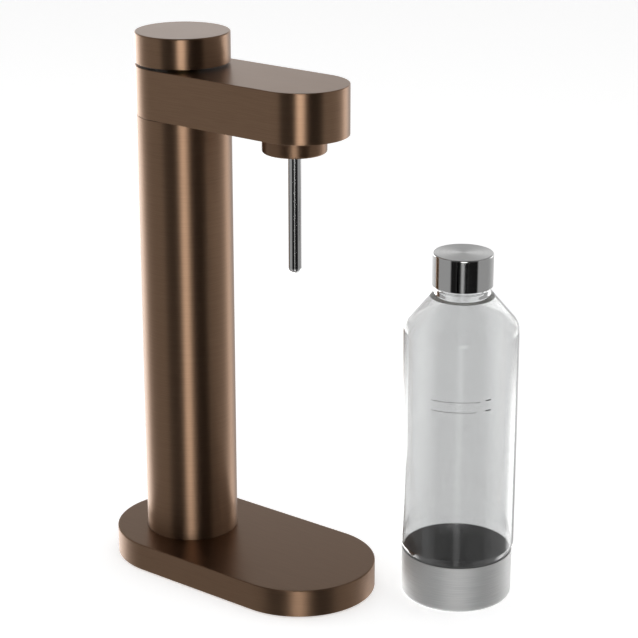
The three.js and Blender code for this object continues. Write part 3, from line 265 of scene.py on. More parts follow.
@dataclass(frozen=True)
class Metal(Finish):
    """A bare, coated or polished metal with its brush marks."""

    grain: Grain = Grain.NONE
    anisotropy: float = 0.0
    turn: float = 0.25  # of the anisotropy, as a share of a whole turn
    mark: float = 0.35 * MM  # one brush mark's width
    stretch: float = 60.0  # a mark's length over its width
    depth: float = 0.004 * MM
    relief: float = 0.5  # strength of the bump
    shade: float = 0.06  # how much the marks lighten and darken the colour
    touch_scale: float = 38.0  # patches of handling to the metre
    touch_detail: float = 3.0
    even_share: float = 0.9  # part of the roughness that is the same all over
    mark_share: float = 0.12  # part of it that the marks add
    touch_share: float = 0.08  # part of it that the handling adds

    def _marks(self, graph: Graph) -> Socket:
        """The height of the brush marks.

        Args:
            graph: the material's graph.

        Returns:
            The height, from 0 to 1.
        """
        place = graph.coordinates()
        fine = 1 / self.mark
        coarse = fine / self.stretch
        if self.grain is Grain.LEVEL:
            return graph.noise(graph.scaled(place, (coarse, coarse, fine)))
        if self.grain is Grain.ALONG:
            return graph.noise(graph.scaled(place, (coarse, fine, fine)))
        if self.grain is Grain.RINGS:
            flat = graph.scaled(place, (1.0, 1.0, 0.0))
            radius = graph.node("ShaderNodeVectorMath", {"operation": "LENGTH"}, {0: flat}, "Value")
            around = graph.scaled(place, (coarse, coarse, coarse))
            x = graph.node("ShaderNodeSeparateXYZ", {}, {0: around})
            path = graph.node("ShaderNodeCombineXYZ", {}, {0: radius * fine, 1: x, 2: x.beside("Y")})
            return graph.noise(path)
        return graph.noise(place, fine / 2)

    def sockets(self, graph: Graph) -> dict[str, object]:
        """The brushed shader's sockets.

        Args:
            graph: the material's graph.

        Returns:
            The values and links by socket name.
        """
        marks = self._marks(graph)
        touch = graph.noise(graph.coordinates(), self.touch_scale, self.touch_detail)
        rough = self.even_share + self.mark_share * marks + self.touch_share * touch
        return {
            "Base Color": self.toned(graph, marks.ramp(*CONTRAST), self.shade),
            "Metallic": 1.0,
            "Roughness": self.roughness * rough,
            "Anisotropic": self.anisotropy,
            "Anisotropic Rotation": self.turn,
            "Normal": graph.bump(marks, self.relief, self.depth),
        }


@dataclass(frozen=True)
class Moulded(Finish):
    """A moulded plastic, rubber or paint, with a fine tooth and faint clouds of tone."""

    tooth: float = 0.5 * MM
    tooth_detail: float = 3.0
    depth: float = 0.02 * MM
    relief: float = 0.6  # strength of the bump
    clouds: float = 0.08  # how much the clouds lighten and darken the colour
    cloud_scale: float = 60.0  # clouds to the metre
    cloud_detail: float = 4.0
    even_share: float = 0.88  # part of the roughness that is the same all over
    tooth_share: float = 0.24  # part of it that the tooth adds
    translucency: float = 0.0
    metallic: float = 0.0

    def sockets(self, graph: Graph) -> dict[str, object]:
        """The moulded shader's sockets.

        Args:
            graph: the material's graph.

        Returns:
            The values and links by socket name.
        """
        place = graph.coordinates()
        tooth = graph.noise(place, 1 / self.tooth, self.tooth_detail)
        cloud = graph.noise(place, self.cloud_scale, self.cloud_detail)
        return {
            "Base Color": self.toned(graph, cloud.ramp(*CONTRAST), self.clouds),
            "Metallic": self.metallic,
            "Roughness": self.roughness * (self.even_share + self.tooth_share * tooth),
            "Transmission Weight": self.translucency,
            "Normal": graph.bump(tooth, self.relief, self.depth),
        }


@dataclass(frozen=True)
class Clear(Finish):
    """A clear moulded plastic, slightly grey, with the faint ripple of blown walls."""

    roughness: float = 0.002
    index: float = 1.575
    ripple: float = 0.03 * MM
    ripple_scale: Triple = (60.0, 60.0, 18.0)  # ripples to the metre, fewer along the height
    relief: float = 0.4  # strength of the bump
    cloud_scale: float = 25.0  # clouds to the metre
    clouds: float = 0.02  # how much the clouds lighten and darken the colour
    even_share: float = 0.7  # part of the roughness that is the same all over
    cloud_share: float = 0.6  # part of it that the clouds add

    def sockets(self, graph: Graph) -> dict[str, object]:
        """The clear shader's sockets.

        Args:
            graph: the material's graph.

        Returns:
            The values and links by socket name.
        """
        place = graph.coordinates()
        wave = graph.noise(graph.scaled(place, self.ripple_scale))
        cloud = graph.noise(place, self.cloud_scale)
        return {
            "Base Color": self.toned(graph, cloud, self.clouds),
            "Roughness": self.roughness * (self.even_share + self.cloud_share * cloud),
            "IOR": self.index,
            "Transmission Weight": 1.0,
            "Normal": graph.bump(wave, self.relief, self.ripple),
        }


BRONZE: Triple = (0.275, 0.17, 0.107)
# A lighter, greyer copy of the bronze for the knob's top: painted light that brightens the top.
PAINTED_LIGHT_BRONZE: Triple = (0.31, 0.21, 0.15)
STEEL: Triple = (0.62, 0.62, 0.615)


class Finishes:
    """The materials of all the finishes, made once each."""

    def __init__(self) -> None:
        """Makes every material."""
        self.bronze_wall = Metal("bronze_wall", BRONZE, 0.42, Grain.LEVEL, anisotropy=0.9).material()
        self.bronze_foot = Metal("bronze_foot", BRONZE, 0.5, Grain.LEVEL, anisotropy=0.9).material()
        self.bronze_rim = Metal("bronze_rim", BRONZE, 0.38, Grain.LEVEL, anisotropy=0.92).material()
        self.bronze_top = Metal("bronze_top", BRONZE, 0.32, Grain.ALONG).material()
        # The knob's top: real ring brush marks on the lighter copy of the bronze, which paints light on
        # the top.
        self.bronze_round = Metal("bronze_round", PAINTED_LIGHT_BRONZE, 0.3, Grain.RINGS).material()
        self.mirror_steel = Metal(
            "mirror_steel", STEEL, 0.09, Grain.LEVEL, mark=0.2 * MM, shade=0.02).material()
        self.turned_steel = Metal("turned_steel", STEEL, 0.3, Grain.RINGS, anisotropy=0.7).material()
        self.cup_wall = Metal(
            "cup_wall", (0.75, 0.75, 0.745), 0.7, Grain.LEVEL, anisotropy=0.2).material()
        # The cup's inside: its own roughness and brushing, and a colour lighter than the outside's
        # steel, which is painted light that lifts the shade in the cup.
        self.cup_inside = Metal(
            "cup_inside", (0.8, 0.8, 0.8), 0.5, Grain.LEVEL, anisotropy=0.5).material()
        self.clear = Clear("clear_pet", (0.645, 0.65, 0.65)).material()
        self.ink = Moulded("grey_ink", (0.05, 0.05, 0.052), 0.5, clouds=0.2).material()
        self.slots: dict[str, Material] = {
            "bronze_steel": self.bronze_wall,
            "polished_steel": self.mirror_steel,
            "cup_steel": self.cup_wall,
            "plain_steel": Metal("zinc_steel", (0.5, 0.51, 0.52), 0.38).material(),
            "spring_steel": Metal("spring_wire", (0.46, 0.47, 0.48), 0.28).material(),
            "brass": Metal("machined_brass", (0.62, 0.45, 0.2), 0.3, Grain.RINGS).material(),
            "aluminium": Metal(
                "machined_aluminium", (0.62, 0.63, 0.64), 0.42, Grain.RINGS).material(),
            "cast_metal": Moulded(
                "cast_metal", (0.2, 0.205, 0.21), 0.6,
                tooth=0.9 * MM, depth=0.08 * MM, metallic=1.0).material(),
            "cylinder_paint": Moulded(
                "cylinder_paint", (0.55, 0.56, 0.57), 0.35,
                tooth=1.6 * MM, depth=0.02 * MM, clouds=0.03).material(),
            "dark_plastic": Moulded("dark_plastic", (0.02, 0.02, 0.021), 0.5).material(),
            "pale_plastic": Moulded(
                "pale_plastic", (0.66, 0.65, 0.61), 0.45, clouds=0.03).material(),
            "dark_rubber": Moulded(
                "dark_rubber", (0.012, 0.012, 0.012), 0.8,
                tooth=0.7 * MM, depth=0.05 * MM).material(),
            "pale_silicone": Moulded(
                "pale_silicone", (0.8, 0.82, 0.82), 0.5, clouds=0.02, translucency=0.35).material(),
            "clear_pet": self.clear,
        }


# Meshes


@dataclass(frozen=True)
class Corner:
    """A corner of an outline: its distance from the axis, its height and its rounding."""

    r: float
    z: float
    rounding: float = 0.0


def rounded(corners: Sequence[Corner]) -> list[tuple[float, float]]:
    """Turns the roundings of an outline into arcs, with a guard point on the flat at each side.

    Args:
        corners: the corners in order. The first and the last have no rounding.

    Returns:
        The outline as (distance, height) points.
    """
    points: list[tuple[float, float]] = []
    for i, corner in enumerate(corners):
        here = Vector((corner.r, corner.z))
        if not corner.rounding:
            points.append((here.x, here.y))
            continue
        before, after = corners[i - 1], corners[(i + 1) % len(corners)]
        back = Vector((before.r, before.z)) - here
        ahead = Vector((after.r, after.z)) - here
        half = back.angle(ahead) / 2
        reach = corner.rounding / math.tan(half)
        back_room = back.length - reach
        ahead_room = ahead.length - reach
        back.normalize()
        ahead.normalize()
        centre = here + (back + ahead).normalized() * (corner.rounding / math.sin(half))
        start = here + back * reach - centre
        end = here + ahead * reach - centre
        sweep = start.angle_signed(end)
        if back_room > 2 * GUARD:
            points.append(tuple(here + back * (reach + GUARD)))
        for k in range(ARC_STEPS + 1):
            turn = -sweep * k / ARC_STEPS
            x = start.x * math.cos(turn) - start.y * math.sin(turn)
            y = start.x * math.sin(turn) + start.y * math.cos(turn)
            points.append((centre.x + x, centre.y + y))
        if ahead_room > 2 * GUARD:
            points.append(tuple(here + ahead * (reach + GUARD)))
    return points


def mesh_object(name: str, made: bmesh.types.BMesh, place: Vector | None = None) -> Object:
    """Makes an object of a bmesh, cleaned and shaded smooth up to its hard edges.

    Args:
        name: the piece's name.
        made: its mesh, which is freed.
        place: where the mesh's origin lies, at the frame's origin if not given.

    Returns:
        The new object.
    """
    bmesh.ops.remove_doubles(made, verts=made.verts, dist=MERGE_DISTANCE)
    bmesh.ops.dissolve_degenerate(made, edges=made.edges, dist=MERGE_DISTANCE)
    bmesh.ops.recalc_face_normals(made, faces=made.faces)
    data = bpy.data.meshes.new(name)
    made.to_mesh(data)
    made.free()
    data.shade_smooth()
    data.set_sharp_from_angle(angle=SMOOTH_ANGLE)
    piece = bpy.data.objects.new(name, data)
    piece.location = place or Vector((0, 0, 0))
    bpy.context.scene.collection.objects.link(piece)
    return piece


def loft(made: bmesh.types.BMesh, rings: Sequence[Sequence[Vector]], closed: bool) -> None:
    """Adds a skin through rings of as many points each.

    Args:
        made: the mesh that the skin is added to.
        rings: the rings, each of which closes on itself.
        closed: whether the last ring joins the first.
    """
    rows = [[made.verts.new(point) for point in ring] for ring in rings]
    pairs = list(zip(rows, rows[1:]))
    if closed:
        pairs.append((rows[-1], rows[0]))
    for low, high in pairs:
        for k in range(len(low)):
            after = (k + 1) % len(low)
            made.faces.new((low[k], low[after], high[after], high[k]))


def capped_loft(made: bmesh.types.BMesh, rings: Sequence[Sequence[Vector]]) -> None:
    """Adds a skin through rings, with a face over each of its two ends.

    Args:
        made: the mesh that it is added to.
        rings: the rings, each of which closes on itself.
    """
    loft(made, rings, closed=False)
    for ring in (rings[0], rings[-1]):
        made.faces.new([made.verts.new(point) for point in ring])


def circle(radius: float, height: float, sides: int) -> list[Vector]:
    """A level ring about the Z axis."""
    steps = (2 * math.pi * k / sides for k in range(sides))
    return [Vector((radius * math.cos(a), radius * math.sin(a), height)) for a in steps]


def turned(name: str, corners: Sequence[Corner], axis: Vector, sides: int = ROUND_SIDES) -> Object:
    """A turned piece. An outline that starts and ends off the axis closes on itself.

    Args:
        name: the piece's name.
        corners: its outline.
        axis: a point on its axis, at the frame's own height.
        sides: how many steps go round.

    Returns:
        The piece, with its origin on its axis.
    """
    made = bmesh.new()
    points = rounded(corners)
    loft(made, [circle(r, z, sides) for r, z in points], closed=points[0][0] > 0)
    return mesh_object(name, made, axis)


def helix(radius: float, pitch: float, turns: float, bottom: float) -> list[Vector]:
    """Points along a helix about the Z axis.

    Args:
        radius: its distance from the axis.
        pitch: how far it rises in a turn.
        turns: how many turns it has.
        bottom: the height where it starts.

    Returns:
        The points, from the lowest up.
    """
    count = round(turns * HELIX_STEPS)
    points = []
    for k in range(count + 1):
        turn = 2 * math.pi * turns * k / count
        height = bottom + pitch * turns * k / count
        points.append(Vector((radius * math.cos(turn), radius * math.sin(turn), height)))
    return points


def add_wire(
    made: bmesh.types.BMesh, path: Sequence[Vector], radius: float, taper: float = 0.0
) -> None:
    """Adds a round wire or ridge along a path.

    Args:
        made: the mesh that it is added to.
        path: the points that it follows.
        radius: its own radius.
        taper: the share of its length over which each end thins out.
    """
    last = len(path) - 1
    rings = []
    for k, point in enumerate(path):
        ahead = (path[min(k + 1, last)] - path[max(k - 1, 0)]).normalized()
        across = ahead.cross(Vector((0, 0, 1))).normalized()
        upright = across.cross(ahead)
        share = 1.0
        if taper:
            share = min(1.0, BLUNT_END + min(k, last - k) / (taper * last))
        ring = []
        for j in range(WIRE_SIDES):
            turn = 2 * math.pi * j / WIRE_SIDES
            offset = across * (radius * math.cos(turn)) + upright * (radius * math.sin(turn))
            ring.append(point + offset * share)
        rings.append(ring)
    capped_loft(made, rings)


def join_into(piece: Object, made: bmesh.types.BMesh) -> None:
    """Adds a bmesh to a piece's own mesh.

    Args:
        piece: the piece, whose origin is the bmesh's origin too.
        made: the mesh that it gets, which is freed.
    """
    extra = mesh_object(piece.name + "_extra", made)
    merged = bmesh.new()
    merged.from_mesh(piece.data)
    merged.from_mesh(extra.data)
    merged.to_mesh(piece.data)
    merged.free()
    bpy.data.objects.remove(extra)
    piece.data.shade_smooth()
    piece.data.set_sharp_from_angle(angle=SMOOTH_ANGLE)


def face_tops(piece: Object, height: float) -> None:
    """Gives the level faces at a height the piece's second material.

    Args:
        piece: the piece.
        height: the height of its top.
    """
    for face in piece.data.polygons:
        flat = abs(face.normal.z) > LEVEL_NORMAL
        if flat and abs(face.center.z - height) < TOP_TOLERANCE:
            face.material_index = 1


# Pieces and the frame


@dataclass(frozen=True)
class Extent:
    """The box of a CAD node."""

    low: Vector
    high: Vector

    @classmethod
    def of(cls, node: str) -> "Extent":
        """The box of the node with that name."""
        return cls(*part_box(node))

    @property
    def axis(self) -> Vector:
        """The point on the table under the box's middle."""
        middle = (self.low + self.high) / 2
        return Vector((middle.x, middle.y, 0))

    @property
    def radius(self) -> float:
        """Half of the box's depth along Y."""
        return (self.high.y - self.low.y) / 2


@dataclass(frozen=True)
class RoundEnded:
    """A flat outline with round ends along X: where its ends are centred, and its hole."""

    rear: float
    front: float
    hole_x: float
    hole_radius: float

    @classmethod
    def of(cls, node: str, hole_x: float, hole_radius: float) -> "RoundEnded":
        """The outline of a node, with a round hole in it."""
        box = Extent.of(node)
        return cls(box.low.x + box.radius, box.high.x - box.radius, hole_x, hole_radius)

    def edge(self, radius: float, height: float) -> list[Vector]:
        """The outline at a distance from the line between its end centres.

        Args:
            radius: that distance.
            height: the height of the points.

        Returns:
            The points, in order around the outline.
        """
        half = ROUND_SIDES // 2
        points = []
        for centre, start in ((self.front, -math.pi / 2), (self.rear, math.pi / 2)):
            for k in range(half + 1):
                turn = start + math.pi * k / half
                x = centre + radius * math.cos(turn)
                points.append(Vector((x, radius * math.sin(turn), height)))
        return points

    def rim(self, radius: float, height: float, outside: float) -> list[Vector]:
        """The hole's round rim, with a point for each of the outline's points."""
        centre = Vector((self.hole_x, 0, height))
        return [centre + (p - centre).normalized() * radius for p in self.edge(outside, height)]

    def slab(self, name: str, corners: Sequence[Corner]) -> Object:
        """A slab of this outline.

        Args:
            name: the piece's name.
            corners: its section. Corners up to the hole's radius lie on the hole's rim.

        Returns:
            The piece.
        """
        outside = max(corner.r for corner in corners)
        points = rounded(corners)
        rings = []
        for r, z in points:
            on_rim = 0 < r < self.hole_radius + MERGE_DISTANCE
            rings.append(self.rim(r, z, outside) if on_rim else self.edge(r, z))
        made = bmesh.new()
        loft(made, rings, closed=points[0][0] > 0)
        return mesh_object(name, made)


@dataclass(frozen=True)
class Shell:
    """A metal shell that is open below: its wall, its deck, and its outer edges above and below."""

    wall: float
    deck: float
    edge: float
    hem: float

    def _section(self, box: Extent, hole: float = 0.0) -> list[Corner]:
        """The section of its wall and deck.

        Args:
            box: the box of the CAD node.
            hole: the radius of the deck's hole, if it has one.

        Returns:
            The corners, from under the deck round to its top.
        """
        outside = box.radius
        inside = outside - self.wall
        top, bottom = box.high.z, box.low.z
        under = top - self.deck
        return [
            Corner(hole, under), Corner(inside, under), Corner(inside, bottom),
            Corner(outside, bottom, self.hem), Corner(outside, top, self.edge), Corner(hole, top),
        ]

    def lid(self, node: str) -> Object:
        """The round shell of a node, with its top's faces on the second material.

        Args:
            node: the CAD node's name.

        Returns:
            The piece.
        """
        box = Extent.of(node)
        piece = turned(f"{node}_fine", self._section(box), box.axis)
        face_tops(piece, box.high.z)
        return piece

    def tray(self, node: str, hole_x: float, hole: float) -> Object:
        """The round-ended shell of a node, with its top's faces on the second material.

        Args:
            node: the CAD node's name.
            hole_x: where the deck's hole is centred.
            hole: the hole's radius.

        Returns:
            The piece.
        """
        box = Extent.of(node)
        outline = RoundEnded.of(node, hole_x, hole)
        piece = outline.slab(f"{node}_fine", self._section(box, hole))
        face_tops(piece, box.high.z)
        return piece


def dress(
    piece: Object, body: str, nodes: Sequence[str], materials: Iterable[Material]
) -> Object:
    """Ties a finished piece to the frame.

    Args:
        piece: the piece, in its place.
        body: the CAD body that it moves with.
        nodes: the CAD nodes that it stands for.
        materials: its materials, in the order of its faces' material numbers.

    Returns:
        The piece.
    """
    for material in materials:
        piece.data.materials.append(material)
    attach(piece, body)
    if nodes:
        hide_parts(*nodes)
    return piece


class Assembly(ABC):
    """A group of pieces that are built and dressed together."""

    @abstractmethod
    def build(self, finishes: Finishes) -> list[Object]:
        """Builds and dresses the pieces, and gives them back."""


@dataclass
class Base(Assembly):
    """The flat foot with round ends: its shell and the rubber pad under it."""

    walls: Shell = Shell(wall=4 * MM, deck=4.5 * MM, edge=0.9 * MM, hem=0.3 * MM)
    column_gap: float = 0.3 * MM
    well_gap: float = 1.5 * MM
    pad_edge: float = 0.3 * MM

    def shell(self, finishes: Finishes) -> Object:
        """The metal shell, open below, with the column's hole in its deck.

        Args:
            finishes: the materials.

        Returns:
            The dressed shell.
        """
        column = Extent.of("column_tube")
        piece = self.walls.tray("base_shell", column.axis.x, column.radius + self.column_gap)
        materials = (finishes.bronze_foot, finishes.bronze_top)
        return dress(piece, "stand", ["base_shell"], materials)

    def pad(self, finishes: Finishes) -> Object:
        """The rubber pad, with the hole that the gas cylinder goes in through.

        Args:
            finishes: the materials.

        Returns:
            The dressed pad.
        """
        box = Extent.of("foot_pad")
        hole = Extent.of("gas_cylinder").radius + self.well_gap
        outside = box.radius
        outline = RoundEnded.of("foot_pad", Extent.of("column_tube").axis.x, hole)
        piece = outline.slab("foot_pad_fine", [
            Corner(hole, box.low.z), Corner(outside, box.low.z, self.pad_edge),
            Corner(outside, box.high.z), Corner(hole, box.high.z),
        ])
        return dress(piece, "stand", ["foot_pad"], [finishes.slots["dark_rubber"]])

    def build(self, finishes: Finishes) -> list[Object]:
        """The shell and the pad."""
        return [self.shell(finishes), self.pad(finishes)]


@dataclass
class Column(Assembly):
    """The upright tube."""

    wall: float = 1.5 * MM
    edge: float = 0.25 * MM

    def build(self, finishes: Finishes) -> list[Object]:
        """The tube, with its two rims broken.

        Args:
            finishes: the materials.

        Returns:
            The dressed tube.
        """
        box = Extent.of("column_tube")
        outside = box.radius
        inside = outside - self.wall
        piece = turned("column_tube_fine", [
            Corner(inside, box.low.z), Corner(outside, box.low.z, self.edge),
            Corner(outside, box.high.z, self.edge), Corner(inside, box.high.z),
        ], box.axis)
        return [dress(piece, "stand", ["column_tube"], [finishes.bronze_wall])]


@dataclass
class Arm(Assembly):
    """The shell of the flat arm with round ends across the column's top."""

    walls: Shell = Shell(wall=1.8 * MM, deck=2 * MM, edge=0.6 * MM, hem=0.3 * MM)
    guide_radius: float = 8 * MM
    guide_gap: float = 0.3 * MM

    def build(self, finishes: Finishes) -> list[Object]:
        """The shell, open below, with the hole for the knob's rod guide.

        Args:
            finishes: the materials.

        Returns:
            The dressed shell.
        """
        box = Extent.of("arm_shell")
        hole = self.guide_radius + self.guide_gap
        piece = self.walls.tray("arm_shell", box.low.x + box.radius, hole)
        materials = (finishes.bronze_rim, finishes.bronze_top)
        return [dress(piece, "stand", ["arm_shell"], materials)]


@dataclass
class Knob(Assembly):
    """The press knob's steel cap."""

    walls: Shell = Shell(wall=1.5 * MM, deck=2 * MM, edge=1.1 * MM, hem=0.3 * MM)

    def build(self, finishes: Finishes) -> list[Object]:
        """The cap, open below."""
        # The top's faces take the lighter bronze: painted light on the knob's top.
        materials = (finishes.bronze_rim, finishes.bronze_round)
        return [dress(self.walls.lid("knob_cap"), "knob", ["knob_cap"], materials)]


@dataclass
class Nozzle(Assembly):
    """The collar that the bottle screws into, and the carbonation tube with its tip."""

    collar_radius: float = 23.75 * MM
    collar_wall: float = 2.8 * MM
    collar_edge: float = 1.6 * MM
    flange: float = 3 * MM
    thread_pitch: float = 4.4 * MM
    thread_turns: float = 1.4
    thread_depth: float = 1 * MM
    thread_start: float = 7 * MM
    thread_taper: float = 0.08
    tube_wall: float = 1.4 * MM
    tip_edge: float = 3.4 * MM
    tip_spigot: float = 8 * MM
    orifice: float = 0.8 * MM
    running_gap: float = 0.3 * MM

    def collar(self, finishes: Finishes) -> Object:
        """The collar, with the flange that holds it in the arm and its inner thread.

        Args:
            finishes: the materials.

        Returns:
            The dressed collar.
        """
        box = Extent.of("bottle_collar")
        bore = self.collar_radius - self.collar_wall
        flange_bottom = box.high.z - self.flange
        piece = turned("bottle_collar_fine", [
            Corner(bore, box.low.z), Corner(self.collar_radius, box.low.z, self.collar_edge),
            Corner(self.collar_radius, flange_bottom), Corner(box.radius, flange_bottom),
            Corner(box.radius, box.high.z), Corner(bore, box.high.z),
        ], box.axis)
        made = bmesh.new()
        path = helix(bore, self.thread_pitch, self.thread_turns, box.low.z + self.thread_start)
        add_wire(made, path, self.thread_depth, self.thread_taper)
        join_into(piece, made)
        return dress(piece, "stand", ["bottle_collar"], [finishes.bronze_foot])

    def tube(self, finishes: Finishes) -> Object:
        """The carbonation tube.

        Args:
            finishes: the materials.

        Returns:
            The dressed tube.
        """
        box = Extent.of("carbonation_tube")
        inside = box.radius - self.tube_wall
        piece = turned("carbonation_tube_fine", [
            Corner(inside, box.low.z), Corner(box.radius, box.low.z),
            Corner(box.radius, box.high.z), Corner(inside, box.high.z),
        ], box.axis, SMALL_SIDES)
        return dress(piece, "stand", ["carbonation_tube"], [finishes.mirror_steel])

    def tip(self, finishes: Finishes) -> Object:
        """The rounded tip, whose spigot sits in the tube.

        Args:
            finishes: the materials.

        Returns:
            The dressed tip.
        """
        box = Extent.of("nozzle_tip")
        tube = Extent.of("carbonation_tube")
        shoulder = box.high.z - self.tip_spigot
        spigot = tube.radius - self.tube_wall - self.running_gap
        piece = turned("nozzle_tip_fine", [
            Corner(self.orifice, box.low.z), Corner(box.radius, box.low.z, self.tip_edge),
            Corner(box.radius, shoulder), Corner(spigot, shoulder), Corner(spigot, box.high.z),
            Corner(self.orifice, box.high.z),
        ], box.axis, SMALL_SIDES)
        return dress(piece, "stand", ["nozzle_tip"], [finishes.mirror_steel])

    def build(self, finishes: Finishes) -> list[Object]:
        """The collar, the tube and the tip."""
        return [self.collar(finishes), self.tube(finishes), self.tip(finishes)]


@dataclass(frozen=True)
class Mark:
    """A printed line round a part of the bottle: its height and width, and its ends in degrees."""

    height: float
    width: float
    start: float
    end: float

    def add(self, made: bmesh.types.BMesh, radius: float, depth: float) -> None:
        """Adds the line as a thin bent plate.

        Args:
            made: the mesh that it is added to.
            radius: the radius of its inner face.
            depth: how thick it is.
        """
        low = Vector((0, 0, self.height - self.width / 2))
        high = Vector((0, 0, self.height + self.width / 2))
        rings = []
        for k in range(round(self.end - self.start) + 1):
            turn = math.radians(self.start + k)
            way = Vector((math.cos(turn), math.sin(turn), 0))
            inner, outer = way * radius, way * (radius + depth)
            rings.append([inner + low, outer + low, outer + high, inner + high])
        capped_loft(made, rings)


@dataclass
class Bottle(Assembly):
    """The clear bottle with its steel cup and its printed fill marks."""

    wall: float = 1.2 * MM
    shoulder_height: float = 216.6 * MM
    shoulder_rounding: float = 14 * MM
    cone_top: float = 243.2 * MM
    ledge_height: float = 238 * MM  # where the thick neck ends inside, at its outer edge
    ledge_drop: float = 0.7 * MM  # how much lower it ends at the bore
    ledge_edge: float = 0.7 * MM
    root_height: float = 244.6 * MM
    root_radius: float = 20.5 * MM
    root_rounding: float = 2.5 * MM
    neck_radius: float = 19.4 * MM
    neck_wall: float = 1.9 * MM
    mouth_edge: float = 0.6 * MM
    waist_rise: float = 6 * MM
    waist_rounding: float = 4 * MM
    heel_rounding: float = 9 * MM
    punt: float = 6 * MM
    petals: int = 5
    petal_height: float = 20 * MM
    petal_depth: float = 5 * MM
    thread_pitch: float = 4.4 * MM
    thread_turns: float = 1.4
    thread_radius: float = 1.1 * MM
    thread_taper: float = 0.1
    thread_below_mouth: float = 7 * MM
    running_gap: float = 0.3 * MM
    cup_wall: float = 0.8 * MM
    cup_edge: float = 4 * MM
    cup_lip: float = 0.3 * MM
    marks: tuple[Mark, ...] = (
        Mark(170.2 * MM, 0.3 * MM, -85.0, -36.0),
        Mark(162.4 * MM, 0.3 * MM, -85.0, -40.0),
        Mark(171.1 * MM, 0.8 * MM, -30.5, -24.0),
        Mark(163.2 * MM, 0.8 * MM, -30.5, -24.0),
    )
    ink: float = 0.03 * MM
    ink_gap: float = 0.01 * MM

    def _petals(self, piece: Object, heel: float) -> None:
        """Presses the valleys between the feet into the bottom of the bottle's body.

        Args:
            piece: the body.
            heel: the radius of its bottom.
        """
        for vertex in piece.data.vertices:
            x, y, z = vertex.co
            distance = min(1.0, math.hypot(x, y) / heel)
            low = max(0.0, 1 - z / self.petal_height)
            ridge = 0.5 - 0.5 * math.cos(self.petals * math.atan2(y, x))
            vertex.co.z += self.petal_depth * low * ridge ** 2 * math.sin(math.pi * distance) ** 2

    def body(self, finishes: Finishes) -> Object:
        """The blown body, one skin outside and one inside, with the neck's thread.

        Args:
            finishes: the materials.

        Returns:
            The dressed body.
        """
        box = Extent.of("bottle_body")
        cup = Extent.of("bottle_cup")
        side = box.radius
        wall = self.wall
        bottom = box.low.z
        mouth = box.high.z
        slope = (self.cone_top - self.shoulder_height) / (side - self.root_radius)
        inside = side - wall
        inner_neck = self.neck_radius - self.neck_wall
        heel = cup.radius - self.cup_wall - self.running_gap
        rise = cup.high.z + self.running_gap
        waist = rise + self.waist_rise
        inner_shoulder = self.shoulder_height - wall * (math.hypot(1, slope) - slope)
        ledge_reach = inside - (self.ledge_height - inner_shoulder) / slope
        flat = heel - 2 * self.heel_rounding
        piece = turned("bottle_body_fine", [
            Corner(0, bottom + self.punt), Corner(flat, bottom),
            Corner(heel, bottom, self.heel_rounding), Corner(heel, rise, self.waist_rounding),
            Corner(side, waist, self.waist_rounding),
            Corner(side, self.shoulder_height, self.shoulder_rounding),
            Corner(self.root_radius, self.cone_top, self.root_rounding),
            Corner(self.root_radius, self.root_height, self.mouth_edge),
            Corner(self.neck_radius, self.root_height),
            Corner(self.neck_radius, mouth, self.mouth_edge),
            Corner(inner_neck, mouth, self.mouth_edge),
            Corner(inner_neck, self.ledge_height - self.ledge_drop, self.ledge_edge),
            Corner(ledge_reach, self.ledge_height, self.ledge_edge),
            Corner(inside, inner_shoulder, self.shoulder_rounding - wall),
            Corner(inside, waist, self.waist_rounding),
            Corner(heel - wall, rise, self.waist_rounding),
            Corner(heel - wall, bottom + wall, self.heel_rounding - wall),
            Corner(flat, bottom + wall), Corner(0, bottom + self.punt + wall),
        ], box.axis)
        self._petals(piece, heel)
        made = bmesh.new()
        thread_rise = self.thread_pitch * self.thread_turns
        start = mouth - self.thread_below_mouth - thread_rise / 2
        path = helix(self.neck_radius, self.thread_pitch, self.thread_turns, start)
        add_wire(made, path, self.thread_radius, self.thread_taper)
        join_into(piece, made)
        piece.visible_shadow = False
        piece.visible_glossy = False
        return dress(piece, "bottle", ["bottle_body"], [finishes.clear])

    def cup(self, finishes: Finishes) -> Object:
        """The steel cup that the bottle stands in, with its own roughness and brushing inside, and a
        steel colour there lighter than outside: painted light in the cup's shaded inside.

        Args:
            finishes: the materials.

        Returns:
            The dressed cup.
        """
        box = Extent.of("bottle_cup")
        radius = box.radius
        bore = radius - self.cup_wall
        piece = turned("bottle_cup_fine", [
            Corner(0, 0), Corner(radius, 0, self.cup_edge), Corner(radius, box.high.z, self.cup_lip),
            Corner(bore, box.high.z, self.cup_lip),
            Corner(bore, self.cup_wall, self.cup_edge - self.cup_wall), Corner(0, self.cup_wall),
        ], box.axis)
        # The inside faces get the lighter steel: painted light in the cup's shaded inside.
        for face in piece.data.polygons:
            distance = math.hypot(face.center.x, face.center.y)
            inward = face.normal.x * face.center.x + face.normal.y * face.center.y < 0
            floor = face.normal.z > FLOOR_NORMAL and distance < bore - self.cup_lip
            if floor or (inward and distance < bore + self.cup_wall / 4):
                face.material_index = 1
        materials = (finishes.cup_wall, finishes.cup_inside)
        return dress(piece, "bottle", ["bottle_cup"], materials)

    def fill_marks(self, finishes: Finishes) -> Object:
        """The two fill lines with a plain tick beside each, printed on the body.

        Args:
            finishes: the materials.

        Returns:
            The dressed lines and ticks, as one piece.
        """
        box = Extent.of("bottle_body")
        made = bmesh.new()
        for mark in self.marks:
            mark.add(made, box.radius + self.ink_gap, self.ink)
        piece = mesh_object("fill_marks", made, box.axis)
        return dress(piece, "bottle", [], [finishes.ink])

    def build(self, finishes: Finishes) -> list[Object]:
        """The body, its fill marks and the cup."""
        return [self.body(finishes), self.fill_marks(finishes), self.cup(finishes)]


